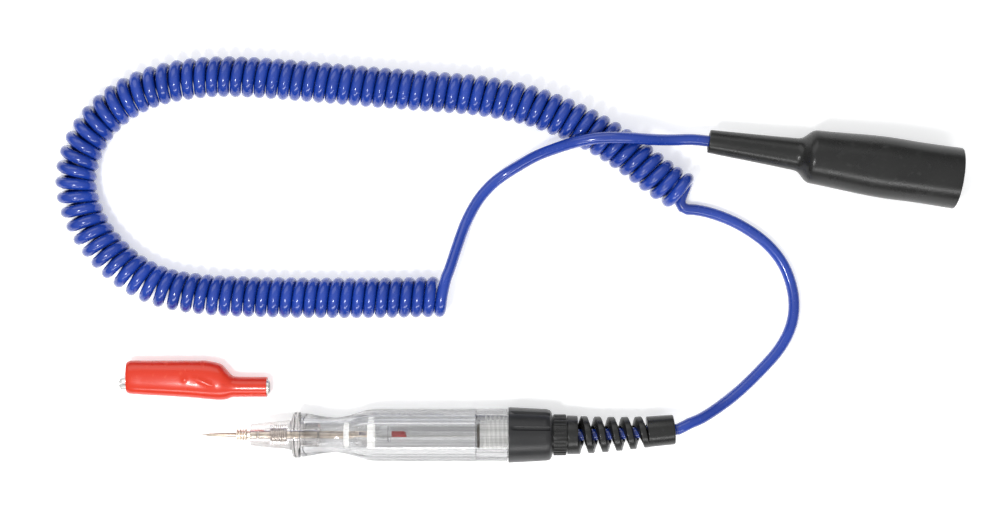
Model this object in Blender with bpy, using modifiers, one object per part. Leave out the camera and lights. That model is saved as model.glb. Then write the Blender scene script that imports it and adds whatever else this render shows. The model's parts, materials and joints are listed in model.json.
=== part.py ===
"""Circuit test light: a clear handle with a steel probe and a lamp, a curly cord with a
booted ground clip, and a loose booted clip that slips onto the probe's collar.

The floor is z = 0. The handle lies along X with its probe towards -X. The origin is on the
floor, midway along and across the handle and the loose clip together.
"""

import math

import bmesh
import bpy
from mathutils import Matrix, Vector

MM = 0.001

# Clearances, and the chamfer on moulded edges
GAP = 0.3 * MM
PIN_GAP = 0.15 * MM
EDGE = 0.4 * MM

# Probe, along the handle's axis from the needle's point
NEEDLE_D = 1.6 * MM
NEEDLE_TAPER = 3.3 * MM
COLLAR_AT = 13.5 * MM
COLLAR_D = 4.2 * MM
COLLAR_ROOT_D = 3.3 * MM
COLLAR_PITCH = 1.0 * MM
COLLAR_CRESTS = 4
NEEDLE_SEAT = 2.9 * MM
ROD_D = 2.7 * MM
ROD_BORE_D = ROD_D + 2 * PIN_GAP
NOSE_AT = 18.8 * MM
NECK_IN_NOSE = 2.7 * MM

# Clear nose
NOSE_TIP_D = 8.0 * MM
NOSE_BASE_D = 11.0 * MM
NOSE_CONE_LENGTH = 14.7 * MM
FLANGE_D = 16.8 * MM
FLANGE_LENGTH = 2.9 * MM
FLANGE_FILLET = 0.8 * MM
INSERT_D = ROD_BORE_D + 2.0 * MM
INSERT_SETBACK = 7.6 * MM
INSERT_LENGTH = 5.8 * MM
SPIGOT_LENGTH = 6.2 * MM

# Clear barrel, behind its seam with the nose
CAP_D = 20.3 * MM
BARREL_D = CAP_D - 1.1 * MM
BARREL_FRONT_D = 16.2 * MM
WAIST_D = 12.9 * MM
WAIST_WALL = 1.75 * MM
WAIST_BEHIND_SEAM = 12.2 * MM
FLARE_LENGTH = 15.5 * MM
BARREL_LENGTH = 75.1 * MM
SPIGOT_STEP = 1.1 * MM
BARREL_SPIGOT_D = BARREL_D - 2 * SPIGOT_STEP
BARREL_SPIGOT_LENGTH = 8.3 * MM
FRONT_BORE_D = WAIST_D - 2 * WAIST_WALL
REAR_BORE_D = BARREL_SPIGOT_D - 4.0 * MM
LAMP_BORE_D = REAR_BORE_D - 1.4 * MM
BORE_STEP_AHEAD_OF_DISC = 3.5 * MM

# Inside the barrel, set back from the seam
FRONT_DISC_D = FRONT_BORE_D - 2 * PIN_GAP
FRONT_DISC_BEHIND_SEAM = 15.9 * MM
REAR_DISC_D = LAMP_BORE_D - 2 * GAP
REAR_DISC_BEHIND_SEAM = 24.8 * MM
DISC_THICKNESS = 2.1 * MM
LAMP_D = 5.0 * MM
LAMP_RIM_D = LAMP_D + 0.8 * MM
LAMP_LENGTH = 4.7 * MM
LAMP_RIM = 0.9 * MM
FRONT_LEAD_D = 0.5 * MM
SLEEVE_D = 2.8 * MM
SLEEVE_LENGTH = 5.5 * MM
REAR_LEAD_D = 0.8 * MM
CONTACT_D = 8.8 * MM
CONTACT_THICKNESS = 0.8 * MM
CONTACT_AHEAD_OF_CAP = 11.6 * MM
SPRING_LENGTH = 8.4 * MM
SPRING_D = 6.0 * MM
SPRING_WIRE = 0.6 * MM
SPRING_TURNS = 6
PLUG_D = REAR_BORE_D - 2 * GAP
PLUG_LENGTH = 18.0 * MM
TERMINAL_D = 4.6 * MM
TERMINAL_HEAD = 0.9 * MM

# Rear cap and strain relief
CAP_BORE_D = BARREL_SPIGOT_D + 2 * GAP
CAP_REAR_D = CAP_D - 1.4 * MM
CAP_LENGTH = 15.9 * MM
CAP_ROUND = 1.9 * MM
CAP_GROOVES = 12
CAP_GROOVE_D = 1.5 * MM
CAP_WEB = 4.0 * MM
CAP_LIP = 1.65 * MM
CAP_HOLE_D = CAP_REAR_D - 2 * CAP_LIP
WASHER_THICKNESS = 0.9 * MM
RING_D = CAP_HOLE_D - 2 * GAP
RING_LENGTH = 5.2 * MM
RING_RIBS = 26
RING_RIB_DEPTH = 0.35 * MM
RING_SEAT_D = RING_D - 2.6 * MM
HEAD_FLANGE = 1.6 * MM
HEAD_D = RING_D - 0.6 * MM
HEAD_LENGTH = 3.9 * MM
FLEX_LENGTH = 25.6 * MM
FLEX_PITCH = 5.05 * MM
STRIP_WIDTH = 2.1 * MM
STRIP_ROOT_WIDTH = 3.2 * MM
RELIEF_SLEEVE_LENGTH = 9.9 * MM
RELIEF_END_D = 11.0 * MM
RELIEF_BEND = math.radians(5.0)

# Curly cord
CORD_D = 4.2 * MM
COIL_D = 15.2 * MM
RELIEF_BORE_D = CORD_D + 1.0 * MM
FLEX_BORE_D = RELIEF_BORE_D + 1.8 * MM
CORD_STEP = 5.5 * MM
COIL_STEP = 13.0 * MM

# Ground clip on the cord: its boot, from the cord end to the mouth
BOOT_TAIL_D = 8.5 * MM
BOOT_NECK_D = 12.0 * MM
BOOT_TAIL_LENGTH = 33.5 * MM
BOOT_SHOULDER = 3.8 * MM
BOOT_BODY_D = 19.5 * MM
BOOT_MOUTH_D = 22.5 * MM
BOOT_LENGTH = 91.8 * MM
BOOT_BEND_AT = 66.5 * MM
BOOT_BEND_D = 21.6 * MM
BOOT_WALL = 1.5 * MM
BOOT_BORE_D = CORD_D + 2.0 * MM
CORD_IN_BOOT = 29.0 * MM
CONDUCTOR_D = 1.8 * MM
SCREW_D = 2.4 * MM
SCREW_HEAD_D = 4.2 * MM
SCREW_HEAD = 1.3 * MM
SCREW_REACH = 2.3 * MM
GROUND_PIVOT_AT = 52.0 * MM
BOOT_HEADING = math.radians(-8.6)
BOOT_TAIL_X = 114.6 * MM
BOOT_TAIL_Y = 99.1 * MM

# Loose clip: its boot, from the socket end to the mouth
LOOSE_CLIP_AHEAD = 30.2 * MM
LOOSE_CLIP_BESIDE = 17.1 * MM
LOOSE_BOOT_EDGE = 9.85 * MM
LOOSE_TAIL_D = 7.3 * MM
LOOSE_TAIL_LENGTH = 13.1 * MM
LOOSE_SHOULDER = 5.1 * MM
LOOSE_REAR_WIDTH = 14.6 * MM
LOOSE_MOUTH_WIDTH = 12.8 * MM
LOOSE_BOOT_HEIGHT = 10.0 * MM
LOOSE_MOUTH_HEIGHT = 8.6 * MM
LOOSE_BOOT_LENGTH = 52.3 * MM
LOOSE_BOOT_WALL = 1.0 * MM
LOOSE_JAW_OUT = 2.7 * MM
SOCKET_BORE_D = COLLAR_D + 2 * PIN_GAP
SOCKET_D = SOCKET_BORE_D + 1.1 * MM
SOCKET_LENGTH = 18.0 * MM
LOOSE_PIVOT_UP = 3.1 * MM
LOOSE_TIP_UP = 1.3 * MM

# Where the handle and the loose clip stand about the origin
NOSE_BASE = NOSE_AT + NOSE_CONE_LENGTH
SEAM = NOSE_BASE + FLANGE_FILLET + FLANGE_LENGTH
BARREL_AT = SEAM + GAP
CAP_AT = BARREL_AT + BARREL_LENGTH + GAP
CAP_END = CAP_AT + CAP_LENGTH
RING_AT = CAP_END + GAP
HEAD_AT = RING_AT + RING_LENGTH
FLEX_AT = HEAD_AT + HEAD_LENGTH
RELIEF_END = FLEX_AT + FLEX_LENGTH + RELIEF_SLEEVE_LENGTH
TIP_X = (LOOSE_CLIP_AHEAD - RELIEF_END) / 2
HANDLE_Y = (CAP_D / 2 - LOOSE_CLIP_BESIDE - LOOSE_BOOT_EDGE) / 2
AXIS_Z = CAP_D / 2

# The cord's route in millimetres, chosen by hand: relief to coil, the coil's middle, and coil to
# boot. The third number is how high the cord is lifted off the floor. The first route was drawn
# for a cord that leaves the relief at TAIL_FROM.
TAIL_FROM = (100.7, -6.5, 10.15)
HANDLE_TAIL = [
    (107.0, -4.5, 7.5), (112.0, -2.6, 5.8), (119.0, 1.4, 2.5), (126.5, 6.9, 0.3),
    (134.5, 14.6, 0), (141.5, 22.6, 0), (145.7, 30.6, 0), (147.0, 38.6, 0), (145.9, 46.6, 0),
    (142.7, 54.4, 0), (137.5, 61.0, 0), (130.6, 66.4, 0), (123.0, 70.5, 0), (115.3, 73.2, 0),
    (108.8, 74.6, 0), (105.4, 74.7, 0),
]
COIL_MIDDLE = [
    (106.0, 80.0), (98.5, 84.4), (89.4, 91.4), (79.1, 98.8), (67.4, 105.2), (56.4, 109.8),
    (45.5, 113.2), (30.0, 116.0), (12.5, 117.5), (-9.4, 119.2), (-31.4, 121.1),
    (-53.4, 122.7), (-70.0, 122.7), (-86.3, 120.1), (-98.5, 115.1), (-108.4, 107.2),
    (-115.0, 96.8), (-117.6, 85.5), (-115.7, 74.2), (-109.7, 63.0), (-99.5, 52.6),
    (-86.3, 45.7), (-70.0, 42.9), (-53.4, 42.1), (-31.4, 41.7), (-9.4, 41.7), (16.6, 42.1),
]
CLIP_TAIL = [
    (19.6, 52.6, 9.2), (21.9, 59.4, 5.1), (25.3, 69.8, 0.5), (29.7, 77.9, 0), (34.5, 83.0, 0),
    (39.2, 86.8, 0.4), (44.4, 90.0, 2.4), (50.2, 93.2, 5.5), (55.0, 95.2, 7.9),
    (61.9, 97.4, 11.3), (67.4, 98.8, 14.0), (74.7, 99.8, 15.9), (83.9, 99.8, 15.5),
    (91.2, 99.5, 12.7), (96.5, 99.4, 10.1), (102.0, 99.5, 8.1), (108.5, 99.7, 7.0),
]

for old in list(bpy.data.objects):
    bpy.data.objects.remove(old, do_unlink=True)

test_light = bpy.data.collections.new("circuit_test_light")
cutters = bpy.data.collections.new("cutters")
for collection in (test_light, cutters):
    bpy.context.scene.collection.children.link(collection)


def material(name, colour, roughness, metallic=0.0, alpha=1.0):
    made = bpy.data.materials.new(name)
    made.use_nodes = True
    shader = made.node_tree.nodes["Principled BSDF"]
    shader.inputs["Base Color"].default_value = (*colour, 1.0)
    shader.inputs["Roughness"].default_value = roughness
    shader.inputs["Metallic"].default_value = metallic
    shader.inputs["Alpha"].default_value = alpha
    return made


CLEAR = material("clear_acrylic", (0.80, 0.82, 0.83), 0.08, alpha=0.35)
STEEL = material("nickelled_steel", (0.62, 0.60, 0.56), 0.25, 1.0)
BRASS = material("brass", (0.70, 0.52, 0.26), 0.30, 1.0)
WHITE_NYLON = material("white_nylon", (0.86, 0.86, 0.84), 0.45)
LAMP_GLASS = material("lamp_glass", (0.85, 0.87, 0.88), 0.05, alpha=0.35)
RED_SLEEVE = material("red_sleeving", (0.70, 0.05, 0.04), 0.40)
BLACK_PLASTIC = material("black_plastic", (0.045, 0.045, 0.048), 0.45)
BLACK_RUBBER = material("black_rubber", (0.05, 0.05, 0.052), 0.55)
BLUE_CORD = material("blue_cord_jacket", (0.03, 0.06, 0.36), 0.30)
RED_VINYL = material("red_vinyl", (0.80, 0.07, 0.03), 0.30)


def placed(name, data, finish, parent):
    obj = bpy.data.objects.new(name, data)
    test_light.objects.link(obj)
    obj.parent = parent
    data.materials.append(finish)
    return obj


def frame_at(name, place, along, up):
    """An empty whose Z runs along a piece and whose X points to its upper side."""
    z = Vector(along).normalized()
    x = (Vector(up) - z * z.dot(Vector(up))).normalized()
    turn = Matrix((x, z.cross(x), z)).transposed().to_4x4()
    empty = bpy.data.objects.new(name, None)
    test_light.objects.link(empty)
    empty.matrix_world = Matrix.Translation(place) @ turn
    return empty


def area_of(outline):
    pairs = zip(outline, outline[1:] + outline[:1])
    return sum(a[0] * b[1] - b[0] * a[1] for a, b in pairs) / 2


def turned(name, profile, finish, parent, sides=32):
    """A turned solid about the parent's Z. The profile's points are (along, radius)."""
    if area_of(profile) < 0:
        profile = profile[::-1]
    solid_bar = min(r for _, r in profile) == 0
    data = bpy.data.meshes.new(name)
    count = len(profile)
    edges = [(i, i + 1) for i in range(count - 1)]
    if solid_bar:
        start = next(i for i, (_, r) in enumerate(profile) if r == 0 and profile[i - 1][1] == 0)
        profile = profile[start:] + profile[:start]
    else:
        edges.append((count - 1, 0))
    data.from_pydata([(r, 0, along) for along, r in profile], edges, [])
    obj = placed(name, data, finish, parent)
    screw = obj.modifiers.new("turn", "SCREW")
    screw.axis = "Z"
    screw.steps = screw.render_steps = sides
    screw.use_merge_vertices = True
    screw.merge_threshold = 0.00001
    screw.use_smooth_shade = True
    return obj


def bushing(name, start, end, outer_d, bore_d, finish, parent, sides=32, edge=0.2 * MM):
    profile = [
        (start, bore_d / 2), (start, outer_d / 2 - edge), (start + edge, outer_d / 2),
        (end - edge, outer_d / 2), (end, outer_d / 2 - edge), (end, bore_d / 2),
    ]
    return turned(name, profile, finish, parent, sides)


CURVE_STEPS = 24


def even_points(route, spacing):
    """Evenly spaced points on a smooth curve through the route."""
    points = [Vector(p) for p in route]
    points = [2 * points[0] - points[1], *points, 2 * points[-1] - points[-2]]
    fine = []
    for a, b, c, d in zip(points, points[1:], points[2:], points[3:]):
        for step in range(CURVE_STEPS):
            t = step / CURVE_STEPS
            fine.append(
                0.5 * (2 * b + (c - a) * t + (2 * a - 5 * b + 4 * c - d) * t**2
                       + (3 * b - a - 3 * c + d) * t**3)
            )
    fine.append(points[-2])
    run = [0.0]
    for a, b in zip(fine, fine[1:]):
        run.append(run[-1] + (b - a).length)
    count = max(2, round(run[-1] / spacing))
    even = []
    k = 0
    for i in range(count + 1):
        want = run[-1] * i / count
        while k < len(run) - 2 and run[k + 1] < want:
            k += 1
        even.append(fine[k].lerp(fine[k + 1], (want - run[k]) / (run[k + 1] - run[k])))
    return even


def tube(name, points, diameter, finish, parent=None, fineness=2):
    data = bpy.data.curves.new(name, "CURVE")
    data.dimensions = "3D"
    data.bevel_depth = diameter / 2
    data.bevel_resolution = fineness
    data.use_fill_caps = True
    spline = data.splines.new("POLY")
    spline.points.add(len(points) - 1)
    for point, place in zip(spline.points, points):
        point.co = (*place, 1)
    return placed(name, data, finish, parent)


def prism(name, outlines, thickness, finish, parent, place=(0, 0, 0), turn=None):
    """A flat outline, and any holes after it, extruded both ways and made a mesh."""
    data = bpy.data.curves.new(name, "CURVE")
    data.dimensions = "2D"
    data.fill_mode = "BOTH"
    data.extrude = thickness / 2
    for outline in outlines:
        spline = data.splines.new("POLY")
        spline.points.add(len(outline) - 1)
        spline.use_cyclic_u = True
        for point, (x, y) in zip(spline.points, outline):
            point.co = (x, y, 0, 1)
    curve = bpy.data.objects.new(name + "_outline", data)
    test_light.objects.link(curve)
    bpy.context.view_layer.update()
    mesh = bpy.data.meshes.new_from_object(
        curve.evaluated_get(bpy.context.evaluated_depsgraph_get()))
    bpy.data.objects.remove(curve, do_unlink=True)
    cleaned(mesh)
    mesh.name = name
    mesh.materials.clear()
    obj = placed(name, mesh, finish, parent)
    obj.matrix_local = Matrix.Translation(place) @ (turn or Matrix.Identity(4))
    return obj


def cleaned(mesh):
    shape = bmesh.new()
    shape.from_mesh(mesh)
    bmesh.ops.remove_doubles(shape, verts=shape.verts, dist=0.000001)
    bmesh.ops.recalc_face_normals(shape, faces=shape.faces)
    shape.to_mesh(mesh)
    shape.free()


def combined(obj, other, operation):
    """Joins or cuts obj with another object, which becomes a hidden helper."""
    for holder in list(other.users_collection):
        holder.objects.unlink(other)
    cutters.objects.link(other)
    other.hide_render = True
    other.display_type = "WIRE"
    boolean = obj.modifiers.new(operation.lower(), "BOOLEAN")
    boolean.operation = operation
    boolean.solver = "EXACT"
    boolean.object = other


def baked(obj):
    """Replaces an object's mesh by its evaluated one, so that its points can be moved."""
    bpy.context.view_layer.update()
    mesh = bpy.data.meshes.new_from_object(
        obj.evaluated_get(bpy.context.evaluated_depsgraph_get()))
    obj.modifiers.clear()
    obj.data = mesh
    return mesh


def ring_points(count, radius):
    turns = (2 * math.pi * i / count for i in range(count))
    return [(radius * math.cos(a), radius * math.sin(a)) for a in turns]


def eased(a, b, t):
    return a + (b - a) * (0.5 - 0.5 * math.cos(math.pi * t))


# Probe: needle, threaded collar and rod
handle = frame_at("handle_axis", (TIP_X, HANDLE_Y, AXIS_Z), (1, 0, 0), (0, 0, 1))
collar_end = COLLAR_AT + COLLAR_CRESTS * COLLAR_PITCH
neck_end = NOSE_AT + NECK_IN_NOSE
needle_end = COLLAR_AT + NEEDLE_SEAT

turned("probe_needle", [
    (0, 0), (NEEDLE_TAPER, NEEDLE_D / 2), (needle_end, NEEDLE_D / 2), (needle_end, 0),
], STEEL, handle, 16)

collar = [(COLLAR_AT, NEEDLE_D / 2 + PIN_GAP)]
for crest in range(COLLAR_CRESTS):
    at = COLLAR_AT + crest * COLLAR_PITCH
    collar += [
        (at, COLLAR_ROOT_D / 2), (at + 0.3 * COLLAR_PITCH, COLLAR_D / 2),
        (at + 0.7 * COLLAR_PITCH, COLLAR_D / 2),
    ]
collar += [
    (collar_end, COLLAR_ROOT_D / 2), (collar_end, ROD_D / 2), (neck_end, ROD_D / 2),
    (neck_end, 0), (needle_end + GAP, 0), (needle_end + GAP, NEEDLE_D / 2 + PIN_GAP),
]
turned("probe_collar", collar, BRASS, handle, 20)

rear_disc_at = SEAM + REAR_DISC_BEHIND_SEAM
rod_end = rear_disc_at + DISC_THICKNESS
turned("probe_rod", [
    (neck_end + GAP, 0), (neck_end + GAP, ROD_D / 2), (rod_end, ROD_D / 2), (rod_end, 0),
], BRASS, handle, 20)

# Clear nose with its moulded-in brass insert
insert_at = NOSE_AT + INSERT_SETBACK
insert_end = insert_at + INSERT_LENGTH
pocket = INSERT_D / 2 + PIN_GAP
flange_at = NOSE_BASE + FLANGE_FILLET
spigot_d = FRONT_BORE_D - 2 * PIN_GAP
turned("nose_cone", [
    (NOSE_AT, ROD_BORE_D / 2), (NOSE_AT, NOSE_TIP_D / 2 - EDGE),
    (NOSE_AT + EDGE, NOSE_TIP_D / 2), (NOSE_BASE, NOSE_BASE_D / 2),
    (flange_at, NOSE_BASE_D / 2 + EDGE), (flange_at, FLANGE_D / 2 - 1.5 * EDGE),
    (flange_at + EDGE, FLANGE_D / 2), (SEAM - EDGE, FLANGE_D / 2),
    (SEAM, FLANGE_D / 2 - EDGE), (SEAM, spigot_d / 2),
    (SEAM + SPIGOT_LENGTH, spigot_d / 2), (SEAM + SPIGOT_LENGTH, ROD_BORE_D / 2),
    (insert_end + GAP, ROD_BORE_D / 2), (insert_end + GAP, pocket),
    (insert_at - GAP, pocket), (insert_at - GAP, ROD_BORE_D / 2),
], CLEAR, handle, 24)
bushing("nose_insert", insert_at, insert_end, INSERT_D, ROD_BORE_D, BRASS, handle, 20)

# Clear barrel: a waist behind the seam, a flare, then a parallel body with a rear spigot
WAIST_STEPS = 5
FLARE_STEPS = 7
waist_at = BARREL_AT + WAIST_BEHIND_SEAM
flare_end = waist_at + FLARE_LENGTH
body_end = BARREL_AT + BARREL_LENGTH
spigot_end = body_end + BARREL_SPIGOT_LENGTH
contact_at = CAP_AT - CONTACT_AHEAD_OF_CAP
step_at = rear_disc_at - BORE_STEP_AHEAD_OF_DISC
barrel = [(BARREL_AT, FRONT_BORE_D / 2), (BARREL_AT, BARREL_FRONT_D / 2 - EDGE)]
for i in range(WAIST_STEPS + 1):
    t = i / WAIST_STEPS
    along = BARREL_AT + EDGE + (WAIST_BEHIND_SEAM - EDGE) * t
    barrel.append((along, eased(BARREL_FRONT_D / 2, WAIST_D / 2, t)))
for i in range(1, FLARE_STEPS + 1):
    t = i / FLARE_STEPS
    barrel.append((waist_at + FLARE_LENGTH * t, eased(WAIST_D / 2, BARREL_D / 2, t)))
barrel += [
    (body_end, BARREL_D / 2), (body_end, BARREL_SPIGOT_D / 2),
    (spigot_end, BARREL_SPIGOT_D / 2), (spigot_end, REAR_BORE_D / 2),
    (contact_at - GAP, REAR_BORE_D / 2), (contact_at - GAP, LAMP_BORE_D / 2),
    (step_at, LAMP_BORE_D / 2), (step_at - 2 * EDGE, FRONT_BORE_D / 2),
]
turned("barrel", barrel, CLEAR, handle, 28)

# Lamp and contacts inside the barrel
front_disc_at = SEAM + FRONT_DISC_BEHIND_SEAM
bushing("front_disc", front_disc_at, front_disc_at + DISC_THICKNESS, FRONT_DISC_D,
        ROD_BORE_D, WHITE_NYLON, handle, 24)
bushing("rear_disc", rear_disc_at, rod_end, REAR_DISC_D, ROD_BORE_D, WHITE_NYLON, handle, 24)

lead_at = rod_end + GAP + FRONT_LEAD_D / 2
lamp_at = lead_at + FRONT_LEAD_D / 2 + GAP
lamp_base = lamp_at + LAMP_LENGTH
DOME_STEPS = 4
dome = [(lamp_at, 0)]
for i in range(1, DOME_STEPS + 1):
    a = math.pi / 2 * i / DOME_STEPS
    dome.append((lamp_at + LAMP_D / 2 * (1 - math.cos(a)), LAMP_D / 2 * math.sin(a)))
turned("lamp", dome + [
    (lamp_base - LAMP_RIM, LAMP_D / 2), (lamp_base - LAMP_RIM, LAMP_RIM_D / 2),
    (lamp_base, LAMP_RIM_D / 2), (lamp_base, 0),
], LAMP_GLASS, handle, 20)

sleeve_at = lamp_base + GAP
sleeve_end = sleeve_at + SLEEVE_LENGTH
turned("resistor_sleeve", [
    (sleeve_at, 0), (sleeve_at, SLEEVE_D / 2 - EDGE / 2), (sleeve_at + EDGE / 2, SLEEVE_D / 2),
    (sleeve_end - EDGE, SLEEVE_D / 2), (sleeve_end, SLEEVE_D / 2 - EDGE), (sleeve_end, 0),
], RED_SLEEVE, handle, 16)

lead_out = LAMP_RIM_D / 2 + GAP + FRONT_LEAD_D / 2
lead_in = SLEEVE_D / 2 + GAP + FRONT_LEAD_D / 2
lead_corner = 0.2 * MM
lead_back = lamp_base + GAP + FRONT_LEAD_D / 2
tube("lamp_lead", [
    (lead_in, 0, lead_back), (lead_out - lead_corner, 0, lead_back),
    (lead_out, 0, lead_back - lead_corner), (lead_out, 0, lead_at + lead_corner),
    (lead_out - lead_corner, 0, lead_at), (-FRONT_LEAD_D, 0, lead_at),
], FRONT_LEAD_D, STEEL, handle, 1)

turned("resistor_lead", [
    (sleeve_end + GAP, 0), (sleeve_end + GAP, REAR_LEAD_D / 2),
    (contact_at - GAP, REAR_LEAD_D / 2), (contact_at - GAP, 0),
], STEEL, handle, 12)

contact_end = contact_at + CONTACT_THICKNESS
turned("contact_disc", [
    (contact_at, 0), (contact_at, CONTACT_D / 2), (contact_end, CONTACT_D / 2), (contact_end, 0),
], BRASS, handle, 24)

POINTS_PER_TURN = 9
spring_at = contact_end + GAP
coil_points = []
coil_r = (SPRING_D - SPRING_WIRE) / 2
spring_steps = SPRING_TURNS * POINTS_PER_TURN
for i in range(spring_steps + 1):
    a = 2 * math.pi * i / POINTS_PER_TURN
    rise = (SPRING_LENGTH - SPRING_WIRE) * i / spring_steps
    coil_points.append((coil_r * math.cos(a), coil_r * math.sin(a),
                        spring_at + SPRING_WIRE / 2 + rise))
tube("contact_spring", coil_points, SPRING_WIRE, STEEL, handle)

terminal_at = spring_at + SPRING_LENGTH + GAP
plug_at = contact_end + GAP
plug_end = plug_at + PLUG_LENGTH
head_end = terminal_at + TERMINAL_HEAD
spring_bore = SPRING_D / 2 + GAP
terminal_end = spigot_end + GAP
turned("cord_terminal", [
    (terminal_at, 0), (terminal_at, SPRING_D / 2), (head_end, SPRING_D / 2),
    (head_end, TERMINAL_D / 2), (terminal_end, TERMINAL_D / 2), (terminal_end, 0),
], BRASS, handle, 20)
turned("rear_plug", [
    (plug_at, spring_bore), (plug_at, PLUG_D / 2 - EDGE), (plug_at + EDGE, PLUG_D / 2),
    (plug_end, PLUG_D / 2), (plug_end, TERMINAL_D / 2 + GAP),
    (head_end + GAP, TERMINAL_D / 2 + GAP), (head_end + GAP, spring_bore),
], WHITE_NYLON, handle, 24)

# Rear cap: a grooved nut that holds the strain relief's flange, with a thrust washer in it
web_at = CAP_END - CAP_WEB
cap = turned("rear_cap", [
    (CAP_AT, CAP_BORE_D / 2), (CAP_AT, CAP_D / 2 - EDGE), (CAP_AT + EDGE, CAP_D / 2),
    (CAP_END - CAP_ROUND, CAP_REAR_D / 2),
    (CAP_END - 0.35 * CAP_ROUND, CAP_REAR_D / 2 - 0.2 * CAP_ROUND),
    (CAP_END, CAP_REAR_D / 2 - 0.7 * CAP_ROUND), (CAP_END, CAP_HOLE_D / 2),
    (web_at, CAP_HOLE_D / 2), (web_at, CAP_BORE_D / 2),
], BLACK_PLASTIC, handle, 48)
grooves = []
for i in range(CAP_GROOVES):
    a = 2 * math.pi * (i + 0.5) / CAP_GROOVES
    groove = prism("cap_groove_%02d" % (i + 1), [ring_points(8, CAP_GROOVE_D / 2)], CAP_LENGTH,
                   BLACK_PLASTIC, handle)
    out = CAP_D / 2 + CAP_GROOVE_D / 6
    groove.matrix_local = (
        Matrix.Translation((out * math.cos(a), out * math.sin(a), CAP_AT + 0.5 * CAP_LENGTH + MM))
        @ Matrix.Rotation(a, 4, "Z") @ Matrix.Rotation(math.radians(-2.0), 4, "Y"))
    grooves.append(groove)
for groove in grooves:
    combined(cap, groove, "DIFFERENCE")

flange_front = terminal_end + GAP
flange_end = flange_front + HEAD_FLANGE
washer_at = flange_end + GAP
bushing("cap_washer", washer_at, washer_at + WASHER_THICKNESS, BARREL_SPIGOT_D,
        CAP_HOLE_D, STEEL, handle, 24)

# Strain relief: a flanged head, a helical strip that flexes, and an end sleeve
relief = turned("strain_relief", [
    (flange_front, RELIEF_BORE_D / 2), (flange_front, BARREL_SPIGOT_D / 2),
    (flange_end, BARREL_SPIGOT_D / 2), (flange_end, RING_D / 2 - EDGE / 2),
    (RING_AT - GAP, RING_D / 2 - EDGE / 2), (RING_AT - GAP, RING_SEAT_D / 2),
    (HEAD_AT + GAP, RING_SEAT_D / 2), (HEAD_AT + GAP, HEAD_D / 2),
    (FLEX_AT, HEAD_D / 2), (FLEX_AT, RELIEF_BORE_D / 2),
], BLACK_RUBBER, handle, 24)
STRIP_STEPS = 16
strip_turns = FLEX_LENGTH / FLEX_PITCH + 0.55
strip = bmesh.new()
first = FLEX_AT - 0.4 * STRIP_ROOT_WIDTH
strip_r = HEAD_D / 2 - EDGE / 4
section = [
    (FLEX_BORE_D / 2, first - STRIP_ROOT_WIDTH / 2), (strip_r, first - STRIP_WIDTH / 2),
    (strip_r, first + STRIP_WIDTH / 2), (FLEX_BORE_D / 2, first + STRIP_ROOT_WIDTH / 2),
]
face = strip.faces.new([strip.verts.new((r, 0, along)) for r, along in section])
bmesh.ops.spin(
    strip, geom=[face, *face.edges, *face.verts], cent=(0, 0, 0), axis=(0, 0, 1),
    dvec=(0, 0, FLEX_PITCH / STRIP_STEPS), angle=2 * math.pi * strip_turns,
    steps=round(strip_turns * STRIP_STEPS))
bmesh.ops.recalc_face_normals(strip, faces=strip.faces)
strip_mesh = bpy.data.meshes.new("flex_strip")
strip.to_mesh(strip_mesh)
strip.free()
combined(relief, placed("flex_strip", strip_mesh, BLACK_RUBBER, handle), "UNION")
combined(relief, bushing("relief_sleeve", FLEX_AT + FLEX_LENGTH, RELIEF_END, HEAD_D,
                         RELIEF_BORE_D, BLACK_RUBBER, handle, 24), "UNION")

relief_mesh = baked(relief)
end_scale = (RELIEF_END_D - RELIEF_BORE_D) / (HEAD_D - RELIEF_BORE_D)
for vertex in relief_mesh.vertices:
    x, y, z = vertex.co
    radius = math.hypot(x, y)
    past = max(0.0, z - FLEX_AT)
    taper = 1 - (1 - end_scale) * min(1.0, past / (RELIEF_END - FLEX_AT))
    if radius > RELIEF_BORE_D / 2:
        fit = (RELIEF_BORE_D / 2 + (radius - RELIEF_BORE_D / 2) * taper) / radius
        x, y = x * fit, y * fit
    curved = min(past, FLEX_LENGTH)
    angle = RELIEF_BEND * curved / FLEX_LENGTH
    turn_r = FLEX_LENGTH / RELIEF_BEND
    straight = past - curved
    side = turn_r * (1 - math.cos(angle)) + straight * math.sin(angle)
    ahead = turn_r * math.sin(angle) + straight * math.cos(angle)
    vertex.co = (x, y * math.cos(angle) - side, z - past + ahead + y * math.sin(angle))

ribs = []
for i in range(RING_RIBS):
    a = 2 * math.pi * i / RING_RIBS
    for share, depth in ((0.0, 0), (0.5, 0), (0.5, RING_RIB_DEPTH), (1.0, RING_RIB_DEPTH)):
        b = a + share * 2 * math.pi / RING_RIBS
        ribs.append(((RING_D / 2 - depth) * math.cos(b), (RING_D / 2 - depth) * math.sin(b)))
prism("relief_ring", [ribs, ring_points(24, RING_SEAT_D / 2 + GAP)], RING_LENGTH - GAP,
      BLACK_RUBBER, handle, (0, 0, RING_AT + RING_LENGTH / 2))

# Cord: through the relief, then the free tails and the coil
inner_start = terminal_end + GAP
relief_route = [(0, 0, inner_start), (0, 0, FLEX_AT)]
for i in range(1, 6):
    angle = RELIEF_BEND * i / 5
    turn_r = FLEX_LENGTH / RELIEF_BEND
    relief_route.append((0, turn_r * (math.cos(angle) - 1), FLEX_AT + turn_r * math.sin(angle)))
sleeve_in = RELIEF_SLEEVE_LENGTH - 4 * GAP
last = relief_route[-1]
relief_route.append((0, last[1] - sleeve_in * math.sin(RELIEF_BEND),
                     last[2] + sleeve_in * math.cos(RELIEF_BEND)))
tube("cord_in_relief", relief_route, CORD_D, BLUE_CORD, handle)


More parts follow.
